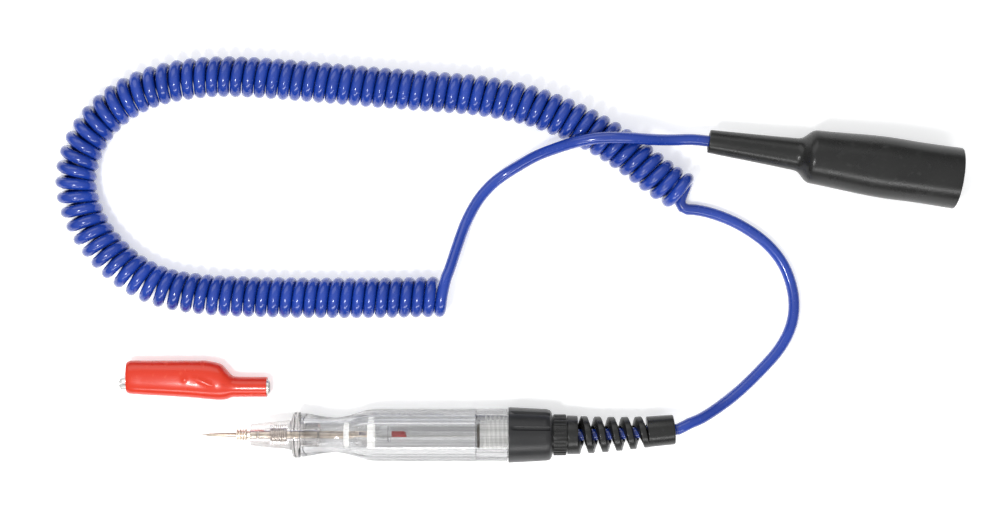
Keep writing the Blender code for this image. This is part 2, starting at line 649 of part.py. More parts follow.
def laid(route, shift=Vector((0, 0, 0))):
    """The route's points. A shift of its start fades out towards its end."""
    points = []
    for i, (x, y, lift) in enumerate(route):
        place = Vector((x * MM, y * MM, CORD_D / 2 + lift * MM))
        points.append(place + shift * (1 - i / (len(route) - 1)))
    return points


def off_floor(points):
    return [Vector((x, y, max(z, CORD_D / 2))) for x, y, z in points]


cord_exit = handle.matrix_world @ Vector(relief_route[-1])
leaving = Vector((math.cos(RELIEF_BEND), math.sin(RELIEF_BEND), 0))
handle_tail = [cord_exit + leaving * 2 * GAP, cord_exit + leaving * 10 * GAP]
handle_tail += laid(HANDLE_TAIL, cord_exit - Vector(TAIL_FROM) * MM)
tube("cord_tail_handle", off_floor(even_points(handle_tail, CORD_STEP)), CORD_D, BLUE_CORD)
coil_route = [(x * MM, y * MM, COIL_D / 2) for x, y in COIL_MIDDLE]
tube("cord_coil", even_points(coil_route, COIL_STEP), COIL_D, BLUE_CORD, fineness=4)

# Ground clip: boot, jaws, pin, spring, screw and conductor
neck_slope = (BOOT_MOUTH_D - BOOT_BODY_D) / 2 / (BOOT_LENGTH - BOOT_TAIL_LENGTH - BOOT_SHOULDER)
boot_rise = math.atan(neck_slope)
boot_axis = Vector((math.cos(BOOT_HEADING) * math.cos(boot_rise),
                    math.sin(BOOT_HEADING) * math.cos(boot_rise), math.sin(boot_rise)))
boot_z = BOOT_BEND_D / 2 * math.cos(boot_rise) - BOOT_BEND_AT * math.sin(boot_rise)
boot = frame_at("ground_clip_axis", (BOOT_TAIL_X, BOOT_TAIL_Y, boot_z), boot_axis, (0, 0, 1))
shoulder_end = BOOT_TAIL_LENGTH + BOOT_SHOULDER
neck_bore = BOOT_NECK_D / 2 - BOOT_WALL
turned("clip_boot", [
    (0, BOOT_BORE_D / 2), (0, BOOT_TAIL_D / 2 - EDGE), (EDGE, BOOT_TAIL_D / 2),
    (BOOT_TAIL_LENGTH, BOOT_NECK_D / 2), (shoulder_end - 2 * EDGE, BOOT_BODY_D / 2 - 2 * EDGE),
    (shoulder_end, BOOT_BODY_D / 2), (BOOT_BEND_AT, BOOT_BEND_D / 2),
    (BOOT_LENGTH - EDGE, BOOT_MOUTH_D / 2), (BOOT_LENGTH, BOOT_MOUTH_D / 2 - EDGE),
    (BOOT_LENGTH, BOOT_MOUTH_D / 2 - BOOT_WALL), (BOOT_BEND_AT, BOOT_BEND_D / 2 - BOOT_WALL),
    (shoulder_end, BOOT_BODY_D / 2 - BOOT_WALL), (BOOT_TAIL_LENGTH, neck_bore),
    (BOOT_TAIL_LENGTH - BOOT_SHOULDER, neck_bore),
    (BOOT_TAIL_LENGTH - BOOT_SHOULDER - BOOT_WALL, BOOT_BORE_D / 2),
], BLACK_RUBBER, boot, 24)

# A flat outline drawn in (along, up) stands upright along its clip
STAND = Matrix(((0, 1, 0), (0, 0, 1), (1, 0, 0))).to_4x4()


def clip_jaws(prefix, frame, size):
    """Two channel jaws on a pin with a torsion spring. The frame's origin is on the pin."""
    tip, tail, wire = size["tip"], size["tail"], size["spring_wire"]
    deep, tip_deep, tail_deep = size["deep"], size["tip_deep"], size["tail_deep"]
    half, sheet, pin_r = size["half_width"], size["sheet"], size["pin_d"] / 2
    parting = GAP / 2
    ear = pin_r + 1.1 * MM
    first_tooth = tip - 1.2 * MM
    tooth = (first_tooth - ear - 1.5 * MM) / size["teeth"]
    teeth = []
    for i in range(size["teeth"]):
        at = first_tooth - tooth * i
        teeth += [(at, -parting), (at - 0.5 * tooth, -parting - 0.5 * MM)]
    back = [(ear + 1.2 * MM, -parting), (ear, ear), (-ear, ear),
            (-ear - 1.2 * MM, -parting - 0.8 * MM)]
    belly = [(tail, -tail_deep), (0, -deep), (0.55 * tip, -0.8 * deep),
             (tip - 0.6 * MM, -tip_deep), (tip, -0.5 * tip_deep)]
    outline = belly + [(tip, -parting)] + teeth + back + [(tail, -tail_deep + 2.2 * sheet)]
    nose_wall = tip - 2.4 * MM
    channel = [(along, up + sheet) for along, up in belly[:3]]
    channel += [(nose_wall, -tip_deep + sheet), (nose_wall, 2 * ear), (tail - MM, 2 * ear),
                (tail - MM, -tail_deep + sheet)]
    for name, side, width in ((prefix + "_fixed_jaw", 1, half),
                              (prefix + "_moving_jaw", -1, half - sheet - PIN_GAP)):
        turn = STAND @ Matrix.Diagonal((1, side, side, 1))
        jaw = prism(name, [outline], 2 * width, STEEL, frame, turn=turn)
        combined(jaw, prism(name + "_channel", [channel], 2 * (width - sheet), STEEL, frame,
                            turn=turn), "DIFFERENCE")
        combined(jaw, prism(name + "_eye", [ring_points(16, pin_r + PIN_GAP)], 3 * half, STEEL,
                            frame, turn=turn), "DIFFERENCE")
    head = pin_r + 0.6 * MM
    out = half + PIN_GAP
    end = out + 0.5 * MM
    pin = turned(prefix + "_pin", [
        (-end, 0), (-end, head), (-out, head), (-out, pin_r), (out, pin_r), (out, head),
        (end, head), (end, 0),
    ], STEEL, frame, 16)
    pin.matrix_local = Matrix.Rotation(math.radians(-90), 4, "X")
    mean = pin_r + PIN_GAP + 0.1 * MM + wire / 2
    room = 2 * (half - 2 * sheet - 2 * PIN_GAP - 0.1 * MM) - wire
    steps = 10 * max(2, int(room / (wire + PIN_GAP)))
    leg = size["spring_leg"]
    points = [(-mean, -room / 2, -leg)]
    for i in range(steps + 1):
        a = 2 * math.pi * i / 10
        points.append((-mean * math.cos(a), -room / 2 + room * i / steps, mean * math.sin(a)))
    points.append((-mean - wire / 2, room / 2, -0.6 * leg))
    tube(prefix + "_spring", points, wire, STEEL, frame, 1)


GROUND_JAWS = {
    "tip": BOOT_LENGTH - GROUND_PIVOT_AT - 3.8 * MM, "tail": -14.0 * MM, "deep": 4.4 * MM,
    "tip_deep": 2.0 * MM, "tail_deep": 4.8 * MM, "half_width": 3.6 * MM, "sheet": 0.7 * MM,
    "pin_d": 2.2 * MM, "teeth": 12, "spring_wire": 0.6 * MM, "spring_leg": 4.0 * MM,
}
pivot = boot.matrix_world @ Vector((0, 0, GROUND_PIVOT_AT))
ground = frame_at("ground_clip_pivot", pivot, boot_axis, (0, 0, 1))
clip_jaws("clip", ground, GROUND_JAWS)

conductor_end = GROUND_PIVOT_AT - 6.5 * MM
screw_from = CONDUCTOR_D / 2 + GAP
screw_end = SCREW_REACH + SCREW_HEAD
turned("clip_conductor", [
    (CORD_IN_BOOT + GAP, 0), (CORD_IN_BOOT + GAP, CONDUCTOR_D / 2),
    (conductor_end, CONDUCTOR_D / 2), (conductor_end, 0),
], BRASS, boot, 12)
screw = turned("clip_screw", [
    (screw_from, 0), (screw_from, SCREW_D / 2), (SCREW_REACH, SCREW_D / 2),
    (SCREW_REACH, SCREW_HEAD_D / 2), (screw_end, SCREW_HEAD_D / 2 - EDGE), (screw_end, 0),
], STEEL, boot, 16)
screw.matrix_local = (Matrix.Translation((0, 0, conductor_end - 4.0 * MM))
                      @ Matrix.Rotation(math.radians(-90), 4, "Y"))

clip_tail = laid(CLIP_TAIL)
for share in (0.0, 0.25, 0.5, 0.75, 1.0):
    clip_tail.append(tuple(boot.matrix_world @ Vector((0, 0, share * CORD_IN_BOOT))))
tube("cord_tail_clip", off_floor(even_points(clip_tail, CORD_STEP)), CORD_D, BLUE_CORD)

# Loose clip: socket, boot, jaws, pin and spring, lying on its side
loose_tip_x = TIP_X - LOOSE_CLIP_AHEAD
loose_tail_x = loose_tip_x + LOOSE_JAW_OUT + LOOSE_BOOT_LENGTH
loose_y = HANDLE_Y + LOOSE_CLIP_BESIDE
loose = frame_at("loose_clip_axis", (loose_tail_x, loose_y, LOOSE_BOOT_HEIGHT / 2),
                 (-1, 0, 0), (0, 1, 0))
bushing("slip_socket", 0, SOCKET_LENGTH, SOCKET_D, SOCKET_BORE_D, STEEL, loose, 24)

BOOT_SIDES = 24


def oval(along, middle, width, height, square):
    """A ring of points: an oval that squares off as square grows past 2."""
    ring = []
    for i in range(BOOT_SIDES):
        a = 2 * math.pi * i / BOOT_SIDES
        c, s = math.cos(a), math.sin(a)
        across = math.copysign(abs(c) ** (2 / square), c) * width / 2
        high = math.copysign(abs(s) ** (2 / square), s) * height / 2
        ring.append((middle + across, high, along))
    return ring


rear_middle = LOOSE_BOOT_EDGE - LOOSE_REAR_WIDTH / 2
mouth_middle = LOOSE_BOOT_EDGE - LOOSE_MOUTH_WIDTH / 2
shoulder_at = LOOSE_TAIL_LENGTH + LOOSE_SHOULDER
mid_at = 0.5 * (shoulder_at + LOOSE_BOOT_LENGTH)
outer = [
    (0, 0, LOOSE_TAIL_D - EDGE, LOOSE_TAIL_D - EDGE, 2.0),
    (EDGE, 0, LOOSE_TAIL_D, LOOSE_TAIL_D, 2.0),
    (LOOSE_TAIL_LENGTH, 0, LOOSE_TAIL_D + EDGE, LOOSE_TAIL_D + EDGE, 2.0),
    (LOOSE_TAIL_LENGTH + 0.45 * LOOSE_SHOULDER, 0.45 * rear_middle,
     0.65 * LOOSE_REAR_WIDTH, 0.86 * LOOSE_BOOT_HEIGHT, 2.1),
    (shoulder_at, rear_middle, LOOSE_REAR_WIDTH, 0.97 * LOOSE_BOOT_HEIGHT, 2.3),
    (mid_at, 0.5 * (rear_middle + mouth_middle), 0.5 * (LOOSE_REAR_WIDTH + LOOSE_MOUTH_WIDTH),
     LOOSE_BOOT_HEIGHT, 2.4),
    (LOOSE_BOOT_LENGTH - EDGE, mouth_middle, LOOSE_MOUTH_WIDTH, LOOSE_MOUTH_HEIGHT, 2.4),
    (LOOSE_BOOT_LENGTH, mouth_middle, LOOSE_MOUTH_WIDTH - EDGE, LOOSE_MOUTH_HEIGHT - EDGE, 2.4),
]
wall = 2 * LOOSE_BOOT_WALL
socket_fit = SOCKET_D + 2 * PIN_GAP
inner = [
    (LOOSE_BOOT_LENGTH, mouth_middle, LOOSE_MOUTH_WIDTH - wall, LOOSE_MOUTH_HEIGHT - wall, 2.4),
    (mid_at, 0.5 * (rear_middle + mouth_middle),
     0.5 * (LOOSE_REAR_WIDTH + LOOSE_MOUTH_WIDTH) - wall, LOOSE_BOOT_HEIGHT - wall, 2.4),
    (shoulder_at, rear_middle, LOOSE_REAR_WIDTH - wall, 0.97 * LOOSE_BOOT_HEIGHT - wall, 2.3),
    (LOOSE_TAIL_LENGTH + 0.75 * LOOSE_SHOULDER, 0.67 * rear_middle,
     0.8 * LOOSE_REAR_WIDTH - wall, 0.88 * LOOSE_BOOT_HEIGHT - wall, 2.1),
    (LOOSE_TAIL_LENGTH + EDGE, 0, socket_fit, socket_fit, 2.0),
    (0, 0, socket_fit, socket_fit, 2.0),
]
rings = [oval(*ring) for ring in outer + inner]
points = [point for ring in rings for point in ring]
faces = []
for i in range(len(rings)):
    j = (i + 1) % len(rings)
    for k in range(BOOT_SIDES):
        n = (k + 1) % BOOT_SIDES
        faces.append([i * BOOT_SIDES + k, i * BOOT_SIDES + n, j * BOOT_SIDES + n, j * BOOT_SIDES + k])
boot_mesh = bpy.data.meshes.new("loose_clip_boot")
boot_mesh.from_pydata(points, [], faces)
cleaned(boot_mesh)
placed("loose_clip_boot", boot_mesh, RED_VINYL, loose)

LOOSE_JAWS = {
    "tip": 24.7 * MM, "tail": -12.0 * MM, "deep": 3.4 * MM, "tip_deep": 2.0 * MM,
    "tail_deep": 3.4 * MM, "half_width": 2.2 * MM, "sheet": 0.4 * MM, "pin_d": 1.6 * MM,
    "teeth": 9, "spring_wire": 0.4 * MM, "spring_leg": 2.5 * MM,
}
jaw_reach = LOOSE_JAWS["tip"]
jaw_slope = math.asin((LOOSE_PIVOT_UP - LOOSE_TIP_UP) / jaw_reach)
loose_pivot_at = LOOSE_BOOT_LENGTH + LOOSE_JAW_OUT - jaw_reach * math.cos(jaw_slope)
loose_pivot = loose.matrix_world @ Vector((LOOSE_PIVOT_UP, 0, loose_pivot_at))
loose_jaws = frame_at("loose_clip_pivot", loose_pivot,
                      (-math.cos(jaw_slope), -math.sin(jaw_slope), 0), (0, 1, 0))
clip_jaws("loose_clip", loose_jaws, LOOSE_JAWS)

for obj in test_light.objects:
    if obj.type == "MESH":
        obj.data.shade_smooth()
        obj.data.set_sharp_from_angle(angle=math.radians(35))
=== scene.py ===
"""Circuit test light: a clear handle with a lamp, a curly cord, a booted ground clip and a
loose clip."""

import json
import math

import bmesh
import bpy
import numpy as np
from mathutils import Matrix, Vector

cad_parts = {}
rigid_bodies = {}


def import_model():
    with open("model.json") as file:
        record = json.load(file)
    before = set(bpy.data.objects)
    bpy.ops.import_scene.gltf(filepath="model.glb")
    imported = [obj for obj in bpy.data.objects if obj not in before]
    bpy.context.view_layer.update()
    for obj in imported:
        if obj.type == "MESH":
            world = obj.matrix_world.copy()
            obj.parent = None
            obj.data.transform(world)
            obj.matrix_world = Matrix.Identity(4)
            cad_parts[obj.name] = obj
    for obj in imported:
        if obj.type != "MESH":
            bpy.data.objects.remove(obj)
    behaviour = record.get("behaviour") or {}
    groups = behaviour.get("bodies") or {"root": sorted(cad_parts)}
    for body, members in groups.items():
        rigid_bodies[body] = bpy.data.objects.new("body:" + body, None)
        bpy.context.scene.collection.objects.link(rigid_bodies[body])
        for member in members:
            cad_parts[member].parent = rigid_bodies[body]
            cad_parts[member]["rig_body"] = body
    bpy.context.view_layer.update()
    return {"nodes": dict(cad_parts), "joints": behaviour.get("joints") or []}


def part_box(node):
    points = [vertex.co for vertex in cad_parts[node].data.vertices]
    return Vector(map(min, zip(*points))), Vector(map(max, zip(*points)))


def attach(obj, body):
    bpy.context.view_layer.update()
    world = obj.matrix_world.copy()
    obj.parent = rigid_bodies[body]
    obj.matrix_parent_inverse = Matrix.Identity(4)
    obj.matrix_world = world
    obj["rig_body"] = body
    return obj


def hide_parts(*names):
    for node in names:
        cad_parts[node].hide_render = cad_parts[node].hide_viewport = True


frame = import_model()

# Studio. A pale floor in a white room that is dimmer towards its walls, lit by a soft box, a long
# strip and a small box, which makes points of light but is kept out of the clear plastic. The
# camera looks straight down on the tool laid out flat.
MM = 0.001
CAMERA_PLACE = (0.0381, 0.0563, 0.680)
CAMERA_LENS = 65.9
LIT_PLACE = (0.03, 0.05, 0)
FLOOR_HALF = 6


def area_light(name, place, size, watts):
    lamp = bpy.data.lights.new(name, "AREA")
    lamp.shape = "RECTANGLE"
    lamp.size, lamp.size_y = size
    lamp.energy = watts
    light = bpy.data.objects.new(name, lamp)
    bpy.context.scene.collection.objects.link(light)
    light.location = place
    light.rotation_euler = (Vector(LIT_PLACE) - Vector(place)).to_track_quat("-Z", "Y").to_euler()
    return light


class Value:
    """A socket of a node tree. Arithmetic on it adds the Math nodes."""

    def __init__(self, tree, socket):
        self.tree, self.socket = tree, socket

    def math(self, operation, *values):
        return self.tree.add("ShaderNodeMath", {"operation": operation}, dict(enumerate(values)))

    def __add__(self, other):
        return self.math("ADD", self, other)

    def __sub__(self, other):
        return self.math("SUBTRACT", self, other)

    def __rsub__(self, other):
        return self.math("SUBTRACT", other, self)

    def __mul__(self, other):
        return self.math("MULTIPLY", self, other)

    __radd__ = __add__
    __rmul__ = __mul__


class Tree:
    """A node tree, with one way of adding any node: its type, its settings, then its sockets."""

    def __init__(self, node_tree):
        self.tree = node_tree

    def add(self, kind, settings=None, sockets=None, output=0):
        node = self.tree.nodes.new(kind)
        for key, setting in (settings or {}).items():
            setattr(node, key, setting)
        for key, value in (sockets or {}).items():
            self.feed(node.inputs[key], value)
        return Value(self, node.outputs[output])

    def feed(self, socket, value):
        if isinstance(value, Value):
            self.tree.links.new(value.socket, socket)
        elif socket.type == "RGBA" and len(value) == 3:
            socket.default_value = (*value, 1.0)
        else:
            socket.default_value = value


camera_data = bpy.data.cameras.new("camera")
camera_data.lens = CAMERA_LENS
camera = bpy.data.objects.new("camera", camera_data)
camera.location = CAMERA_PLACE
bpy.context.scene.collection.objects.link(camera)
bpy.context.scene.camera = camera

small_box = area_light("small_box", (-0.12, -0.12, 0.50), (0.085, 0.085), 1.3)
small_box.visible_transmission = False
area_light("far_box", (-0.30, 0.85, 0.70), (1.20, 0.70), 3.4)
area_light("near_strip", (0.10, -0.75, 0.55), (1.00, 0.11), 3.6)

world = bpy.data.worlds.new("white_room")
world.use_nodes = True
world.node_tree.nodes["Background"].inputs["Color"].default_value = (0.98, 0.99, 1.0, 1)
room = Tree(world.node_tree)
towards = room.add("ShaderNodeTexCoord")
height = room.add("ShaderNodeSeparateXYZ", {}, {"Vector": towards}, "Z")
room.feed(world.node_tree.nodes["Background"].inputs["Strength"],
          room.add("ShaderNodeMapRange", {}, {0: height, 1: 0.1, 2: 0.95, 3: 0.20, 4: 0.85}))
bpy.context.scene.world = world
bpy.context.scene.view_settings.view_transform = "Standard"

floor_mesh = bpy.data.meshes.new("floor")
floor_mesh.from_pydata([(-FLOOR_HALF, -FLOOR_HALF, 0), (FLOOR_HALF, -FLOOR_HALF, 0),
                        (FLOOR_HALF, FLOOR_HALF, 0), (-FLOOR_HALF, FLOOR_HALF, 0)], [],
                       [(0, 1, 2, 3)])
floor = bpy.data.objects.new("floor", floor_mesh)
bpy.context.scene.collection.objects.link(floor)
floor_paint = bpy.data.materials.new("floor_paint")
floor_paint.use_nodes = True
paint = floor_paint.node_tree.nodes["Principled BSDF"].inputs
paint["Base Color"].default_value = (0.92, 0.92, 0.92, 1)
paint["Roughness"].default_value = 0.8
paint["Emission Color"].default_value = (1, 1, 1, 1)
paint["Emission Strength"].default_value = 0.32
floor_mesh.materials.append(floor_paint)


# Curly cord. A stranded conductor in a glossy blue polyurethane jacket, wound left-handed on a
# rod and heat-set. It leaves the strain relief, runs into the coil, and ends in the ground clip.
class Finish(Tree):
    """A material on a Principled shader. Its plain values are set on the shader's own sockets."""

    def __init__(self, name, **plain):
        self.material = bpy.data.materials.new(name)
        self.material.use_nodes = True
        super().__init__(self.material.node_tree)
        self.shader = self.tree.nodes["Principled BSDF"]
        self.set(**plain)
        self.place = self.add("ShaderNodeTexCoord", output=3)

    def set(self, **values):
        for key, value in values.items():
            self.feed(self.shader.inputs[key.replace("_", " ")], value)

    def noise(self, scale, detail=3.0, stretch=(1, 1, 1), at=None):
        """Noise from 0 to 1. The scale is in features for each metre."""
        along = self.add("ShaderNodeMapping", {"vector_type": "POINT"},
                         {"Vector": at or self.place, "Scale": stretch})
        return self.add("ShaderNodeTexNoise", {}, {
            "Vector": along, "Scale": scale, "Detail": detail, "Roughness": 0.5})

    def spread(self, value, low, high):
        """The value stretched so that low becomes 0 and high becomes 1, and held there."""
        return self.add("ShaderNodeMapRange", {}, {0: value, 1: low, 2: high, 3: 0.0, 4: 1.0})

    def mixed(self, share, first, second):
        return self.add("ShaderNodeMix", {"data_type": "RGBA"}, {0: share, 6: first, 7: second}, 2)

    def bumped(self, height, depth, strength):
        """A height from 0 to 1 as a bump that is depth metres deep."""
        self.set(Normal=self.add("ShaderNodeBump", {}, {
            "Height": height, "Distance": depth, "Strength": strength}))


def new_piece(name, mesh, finish, body, stands_for):
    """A finished mesh as a piece that rides on a body and stands for CAD nodes."""
    mesh.materials.clear()
    mesh.materials.append(finish.material)
    piece = bpy.data.objects.new(name, mesh)
    bpy.context.scene.collection.objects.link(piece)
    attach(piece, body)
    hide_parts(*stands_for)
    return piece


BETWEEN_POINTS = 24


def smooth_route(points, step):
    """Evenly spaced points on a smooth curve through the given ones."""
    knots = [Vector(p) for p in points]
    knots = [2 * knots[0] - knots[1], *knots, 2 * knots[-1] - knots[-2]]
    fine = []
    for a, b, c, d in zip(knots, knots[1:], knots[2:], knots[3:]):
        for i in range(BETWEEN_POINTS):
            t = i / BETWEEN_POINTS
            fine.append(0.5 * (2 * b + (c - a) * t + (2 * a - 5 * b + 4 * c - d) * t**2
                               + (3 * b - a - 3 * c + d) * t**3))
    fine = np.array([*fine, knots[-2]])
    run = np.concatenate([[0], np.cumsum(np.linalg.norm(np.diff(fine, axis=0), axis=1))])
    wanted = np.linspace(0, run[-1], max(2, round(run[-1] / step)) + 1)
    return np.stack([np.interp(wanted, run, fine[:, k]) for k in range(3)], axis=1)


def swept(name, path, radius, sides):
    """A closed tube along a path, with its distance along and turn round it as a UV map."""
    path = np.asarray(path)
    ahead = np.gradient(path, axis=0)
    ahead /= np.linalg.norm(ahead, axis=1)[:, None]
    side = np.cross(ahead[0], (0, 0, 1))
    side /= np.linalg.norm(side)
    turns = 2 * math.pi * np.arange(sides) / sides
    rings = []
    for place, forward in zip(path, ahead):
        side = side - forward * side.dot(forward)
        side /= np.linalg.norm(side)
        up = np.cross(side, forward)
        round_it = np.cos(turns)[:, None] * side + np.sin(turns)[:, None] * up
        rings.append(place + radius * round_it)
    count = len(path)
    points = np.concatenate(rings + [path[:1], path[-1:]])
    faces, maps = [], []
    run = np.concatenate([[0], np.cumsum(np.linalg.norm(np.diff(path, axis=0), axis=1))])
    for i in range(count - 1):
        for k in range(sides):
            n = (k + 1) % sides
            faces.append((i * sides + k, i * sides + n, (i + 1) * sides + n, (i + 1) * sides + k))
            maps += [(run[i], k / sides), (run[i], (k + 1) / sides),
                     (run[i + 1], (k + 1) / sides), (run[i + 1], k / sides)]
    for k in range(sides):
        n = (k + 1) % sides
        faces.append((count * sides, n, k))
        faces.append((count * sides + 1, (count - 1) * sides + k, (count - 1) * sides + n))
        maps += [(run[0], k / sides)] * 3 + [(run[-1], k / sides)] * 3
    mesh = bpy.data.meshes.new(name)
    mesh.from_pydata(points.tolist(), [], faces)
    layer = mesh.uv_layers.new(name="jacket")
    layer.data.foreach_set("uv", np.array(maps, np.float32).ravel())
    faced_outward(mesh)
    return mesh


def faced_outward(mesh, sharp=None):
    shape = bmesh.new()
    shape.from_mesh(mesh)
    bmesh.ops.recalc_face_normals(shape, faces=shape.faces)
    shape.to_mesh(mesh)
    shape.free()
    mesh.shade_smooth()
    if sharp:
        mesh.set_sharp_from_angle(angle=math.radians(sharp))


CORD_D = 4.2 * MM
COIL_R = 5.5 * MM
COIL_TURNS = 89.5
POINTS_PER_TURN = 28
CORD_SIDES = 14
CORD_IN_BOOT = 29.0 * MM
RELIEF_BEND = math.radians(5.0)

# Millimetres: x, y and how high the cord is lifted off the floor
RELIEF_TO_COIL = [
    (107.0, -4.5, 7.5), (112.0, -2.6, 5.8), (119.0, 1.4, 2.5), (126.5, 6.9, 0.3),
    (134.5, 14.6, 0), (141.5, 22.6, 0), (145.7, 30.6, 0), (147.0, 38.6, 0), (145.9, 46.6, 0),
    (142.7, 54.4, 0), (137.5, 61.0, 0), (130.6, 66.4, 0), (123.0, 70.5, 0), (115.3, 73.2, 0),
    (109.3, 74.3, 0), (105.6, 74.2, 0), (103.4, 74.6, 0), (102.6, 75.9, 0), (103.4, 77.4, 0),
]
COIL_MIDDLE = [
    (105.65, 80.05), (98.5, 84.4), (89.4, 91.4), (79.1, 98.8), (67.4, 105.2), (56.4, 109.8),
    (45.5, 113.2), (30.0, 116.0), (12.5, 117.5), (-9.4, 119.2), (-31.4, 121.1),
    (-53.4, 122.7), (-70.0, 122.7), (-86.3, 120.1), (-98.5, 115.1), (-108.4, 107.2),
    (-115.0, 96.8), (-117.6, 85.5), (-115.7, 74.2), (-109.7, 63.0), (-99.5, 52.6),
    (-86.3, 45.7), (-70.0, 42.9), (-53.4, 42.1), (-31.4, 41.7), (-9.4, 41.7), (16.9, 42.1),
]
COIL_TO_CLIP = [
    (17.9, 47.4, 10.9), (19.8, 52.6, 8.6), (22.0, 59.6, 5.0), (25.3, 69.0, 1.0), (29.7, 77.3, 0),
    (34.5, 83.0, 0), (39.2, 86.8, 0.4), (44.4, 90.0, 2.4), (50.2, 93.2, 5.5), (55.0, 95.2, 7.9),
    (61.9, 97.4, 11.3), (67.4, 98.8, 14.0), (74.7, 99.8, 15.9), (83.9, 99.8, 15.5),
    (91.2, 99.5, 12.7), (96.5, 99.4, 10.1), (102.0, 99.5, 8.1), (108.5, 99.7, 7.0),
]


def laid(route):
    return [(x * MM, y * MM, CORD_D / 2 + lift * MM) for x, y, lift in route]


MIDDLE_STEP = 0.5 * MM
BEND_WINDOW = 40
TIGHTEST_BEND = 22
BEND_OPENS, END_OPENS, END_REACH = 0.12, 0.09, 14 * MM


def coil_route():
    """The wound wire: a left-handed helix round the coil's middle, wider spaced round the bend
    and at its start."""
    middle_z = COIL_R + CORD_D / 2
    middle = smooth_route([(x * MM, y * MM, middle_z) for x, y in COIL_MIDDLE], MIDDLE_STEP)
    ahead = np.gradient(middle, axis=0)
    ahead /= np.linalg.norm(ahead, axis=1)[:, None]
    left = np.cross((0, 0, 1), ahead)
    run = np.concatenate([[0], np.cumsum(np.linalg.norm(np.diff(middle, axis=0), axis=1))])
    bend = np.linalg.norm(np.gradient(ahead, axis=0), axis=1) / np.gradient(run)
    average = np.ones(2 * BEND_WINDOW + 1) / (2 * BEND_WINDOW + 1)
    bend = np.convolve(np.pad(bend, BEND_WINDOW, mode="edge"), average, mode="valid")
    loose = (1 + BEND_OPENS * np.clip(bend / TIGHTEST_BEND, 0, 1)
             + END_OPENS * np.exp(-run / END_REACH))
    turned = np.concatenate([[0], np.cumsum(np.diff(run) / ((loose[1:] + loose[:-1]) / 2))])
    turned *= COIL_TURNS / turned[-1]
    steps = np.linspace(0, COIL_TURNS, round(COIL_TURNS * POINTS_PER_TURN) + 1)
    centre = np.stack([np.interp(steps, turned, middle[:, k]) for k in range(3)], axis=1)
    across = np.stack([np.interp(steps, turned, left[:, k]) for k in range(3)], axis=1)
    angle = -math.pi / 2 - 2 * math.pi * steps
    return (centre + COIL_R * np.cos(angle)[:, None] * across
            + COIL_R * np.sin(angle)[:, None] * np.array((0, 0, 1)))


joint_named = {joint["name"]: joint for joint in frame["joints"]}
boot_axis = -Vector(joint_named["ground_boot_slide"]["axis"])
BOOT_TAIL = Vector((114.6, 99.1, 8.966)) * MM
cord_exit = Vector((100.7, -6.5, 10.15)) * MM
leaving = Vector((math.cos(RELIEF_BEND), math.sin(RELIEF_BEND), 0))

TAIL_STEP = 2.5 * MM
tail_in = smooth_route([cord_exit, cord_exit + leaving * 3 * MM, *laid(RELIEF_TO_COIL)], TAIL_STEP)
wound = coil_route()
in_boot = [BOOT_TAIL + boot_axis * CORD_IN_BOOT * share for share in (0, 0.25, 0.5, 0.75, 1)]
tail_out = smooth_route([wound[-1], *laid(COIL_TO_CLIP), *in_boot], TAIL_STEP)


JOIN_POINTS = 2
JOIN_PASSES = 3


def joined(first, second):
    """Two runs end to end, with the joint between them rounded."""
    path = np.concatenate([first, second])
    at = len(first)
    low, high = at - JOIN_POINTS, at + JOIN_POINTS
    for _ in range(JOIN_PASSES):
        path[low:high] = (path[low - 1:high - 1] + 2 * path[low:high] + path[low + 1:high + 1]) / 4
    return path


cord_path = joined(joined(tail_in[:-1], wound), tail_out[1:])
cord_path[:, 2] = np.maximum(cord_path[:, 2], CORD_D / 2)

jacket = Finish("cord_jacket", Specular_IOR_Level=0.3, Coat_Roughness=0.04)
jacket_map = jacket.add("ShaderNodeUVMap", {"uv_map": "jacket"})
cloud = jacket.noise(60, 2)
tint = jacket.mixed(jacket.spread(cloud, 0.3, 0.7), (0.005, 0.034, 0.275), (0.008, 0.046, 0.350))
scuff = jacket.spread(jacket.noise(900, 4), 0.62, 0.75)
drawn = jacket.noise(1.0, 2, (120, 16, 1), at=jacket_map)
jacket.set(Base_Color=jacket.mixed(scuff * 0.25, tint, (0.06, 0.11, 0.50)),
           Roughness=0.20 + cloud * 0.10 + scuff * 0.2,
           Coat_Weight=0.70 - scuff * 0.40)
jacket.bumped(drawn * 0.5 + jacket.noise(2600, 2) * 0.5, 0.03 * MM, 0.5)

cord = new_piece("curly_cord", swept("curly_cord", cord_path, CORD_D / 2, CORD_SIDES), jacket,
                 "handle", ("cord_tail_handle", "cord_coil", "cord_tail_clip"))


# Probe. A hardened, pointed steel needle is pressed into a turned brass rod, whose ribbed collar
# takes the slip-on clip. The rod runs back through the nose to the lamp.
class Axle:
    """A line that pieces are turned about. Distances along it and round it are in metres."""

    def __init__(self, start, ahead):
        up = Vector((0, 0, 1))
        z = Vector(ahead).normalized()
        x = (up - z * z.dot(up)).normalized()
        self.matrix = Matrix.Translation(start) @ Matrix((x, z.cross(x), z)).transposed().to_4x4()


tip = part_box("probe_needle")[0].x
handle_line = (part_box("barrel")[0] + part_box("barrel")[1]) / 2
handle_axle = Axle((tip, handle_line.y, handle_line.z), (1, 0, 0))


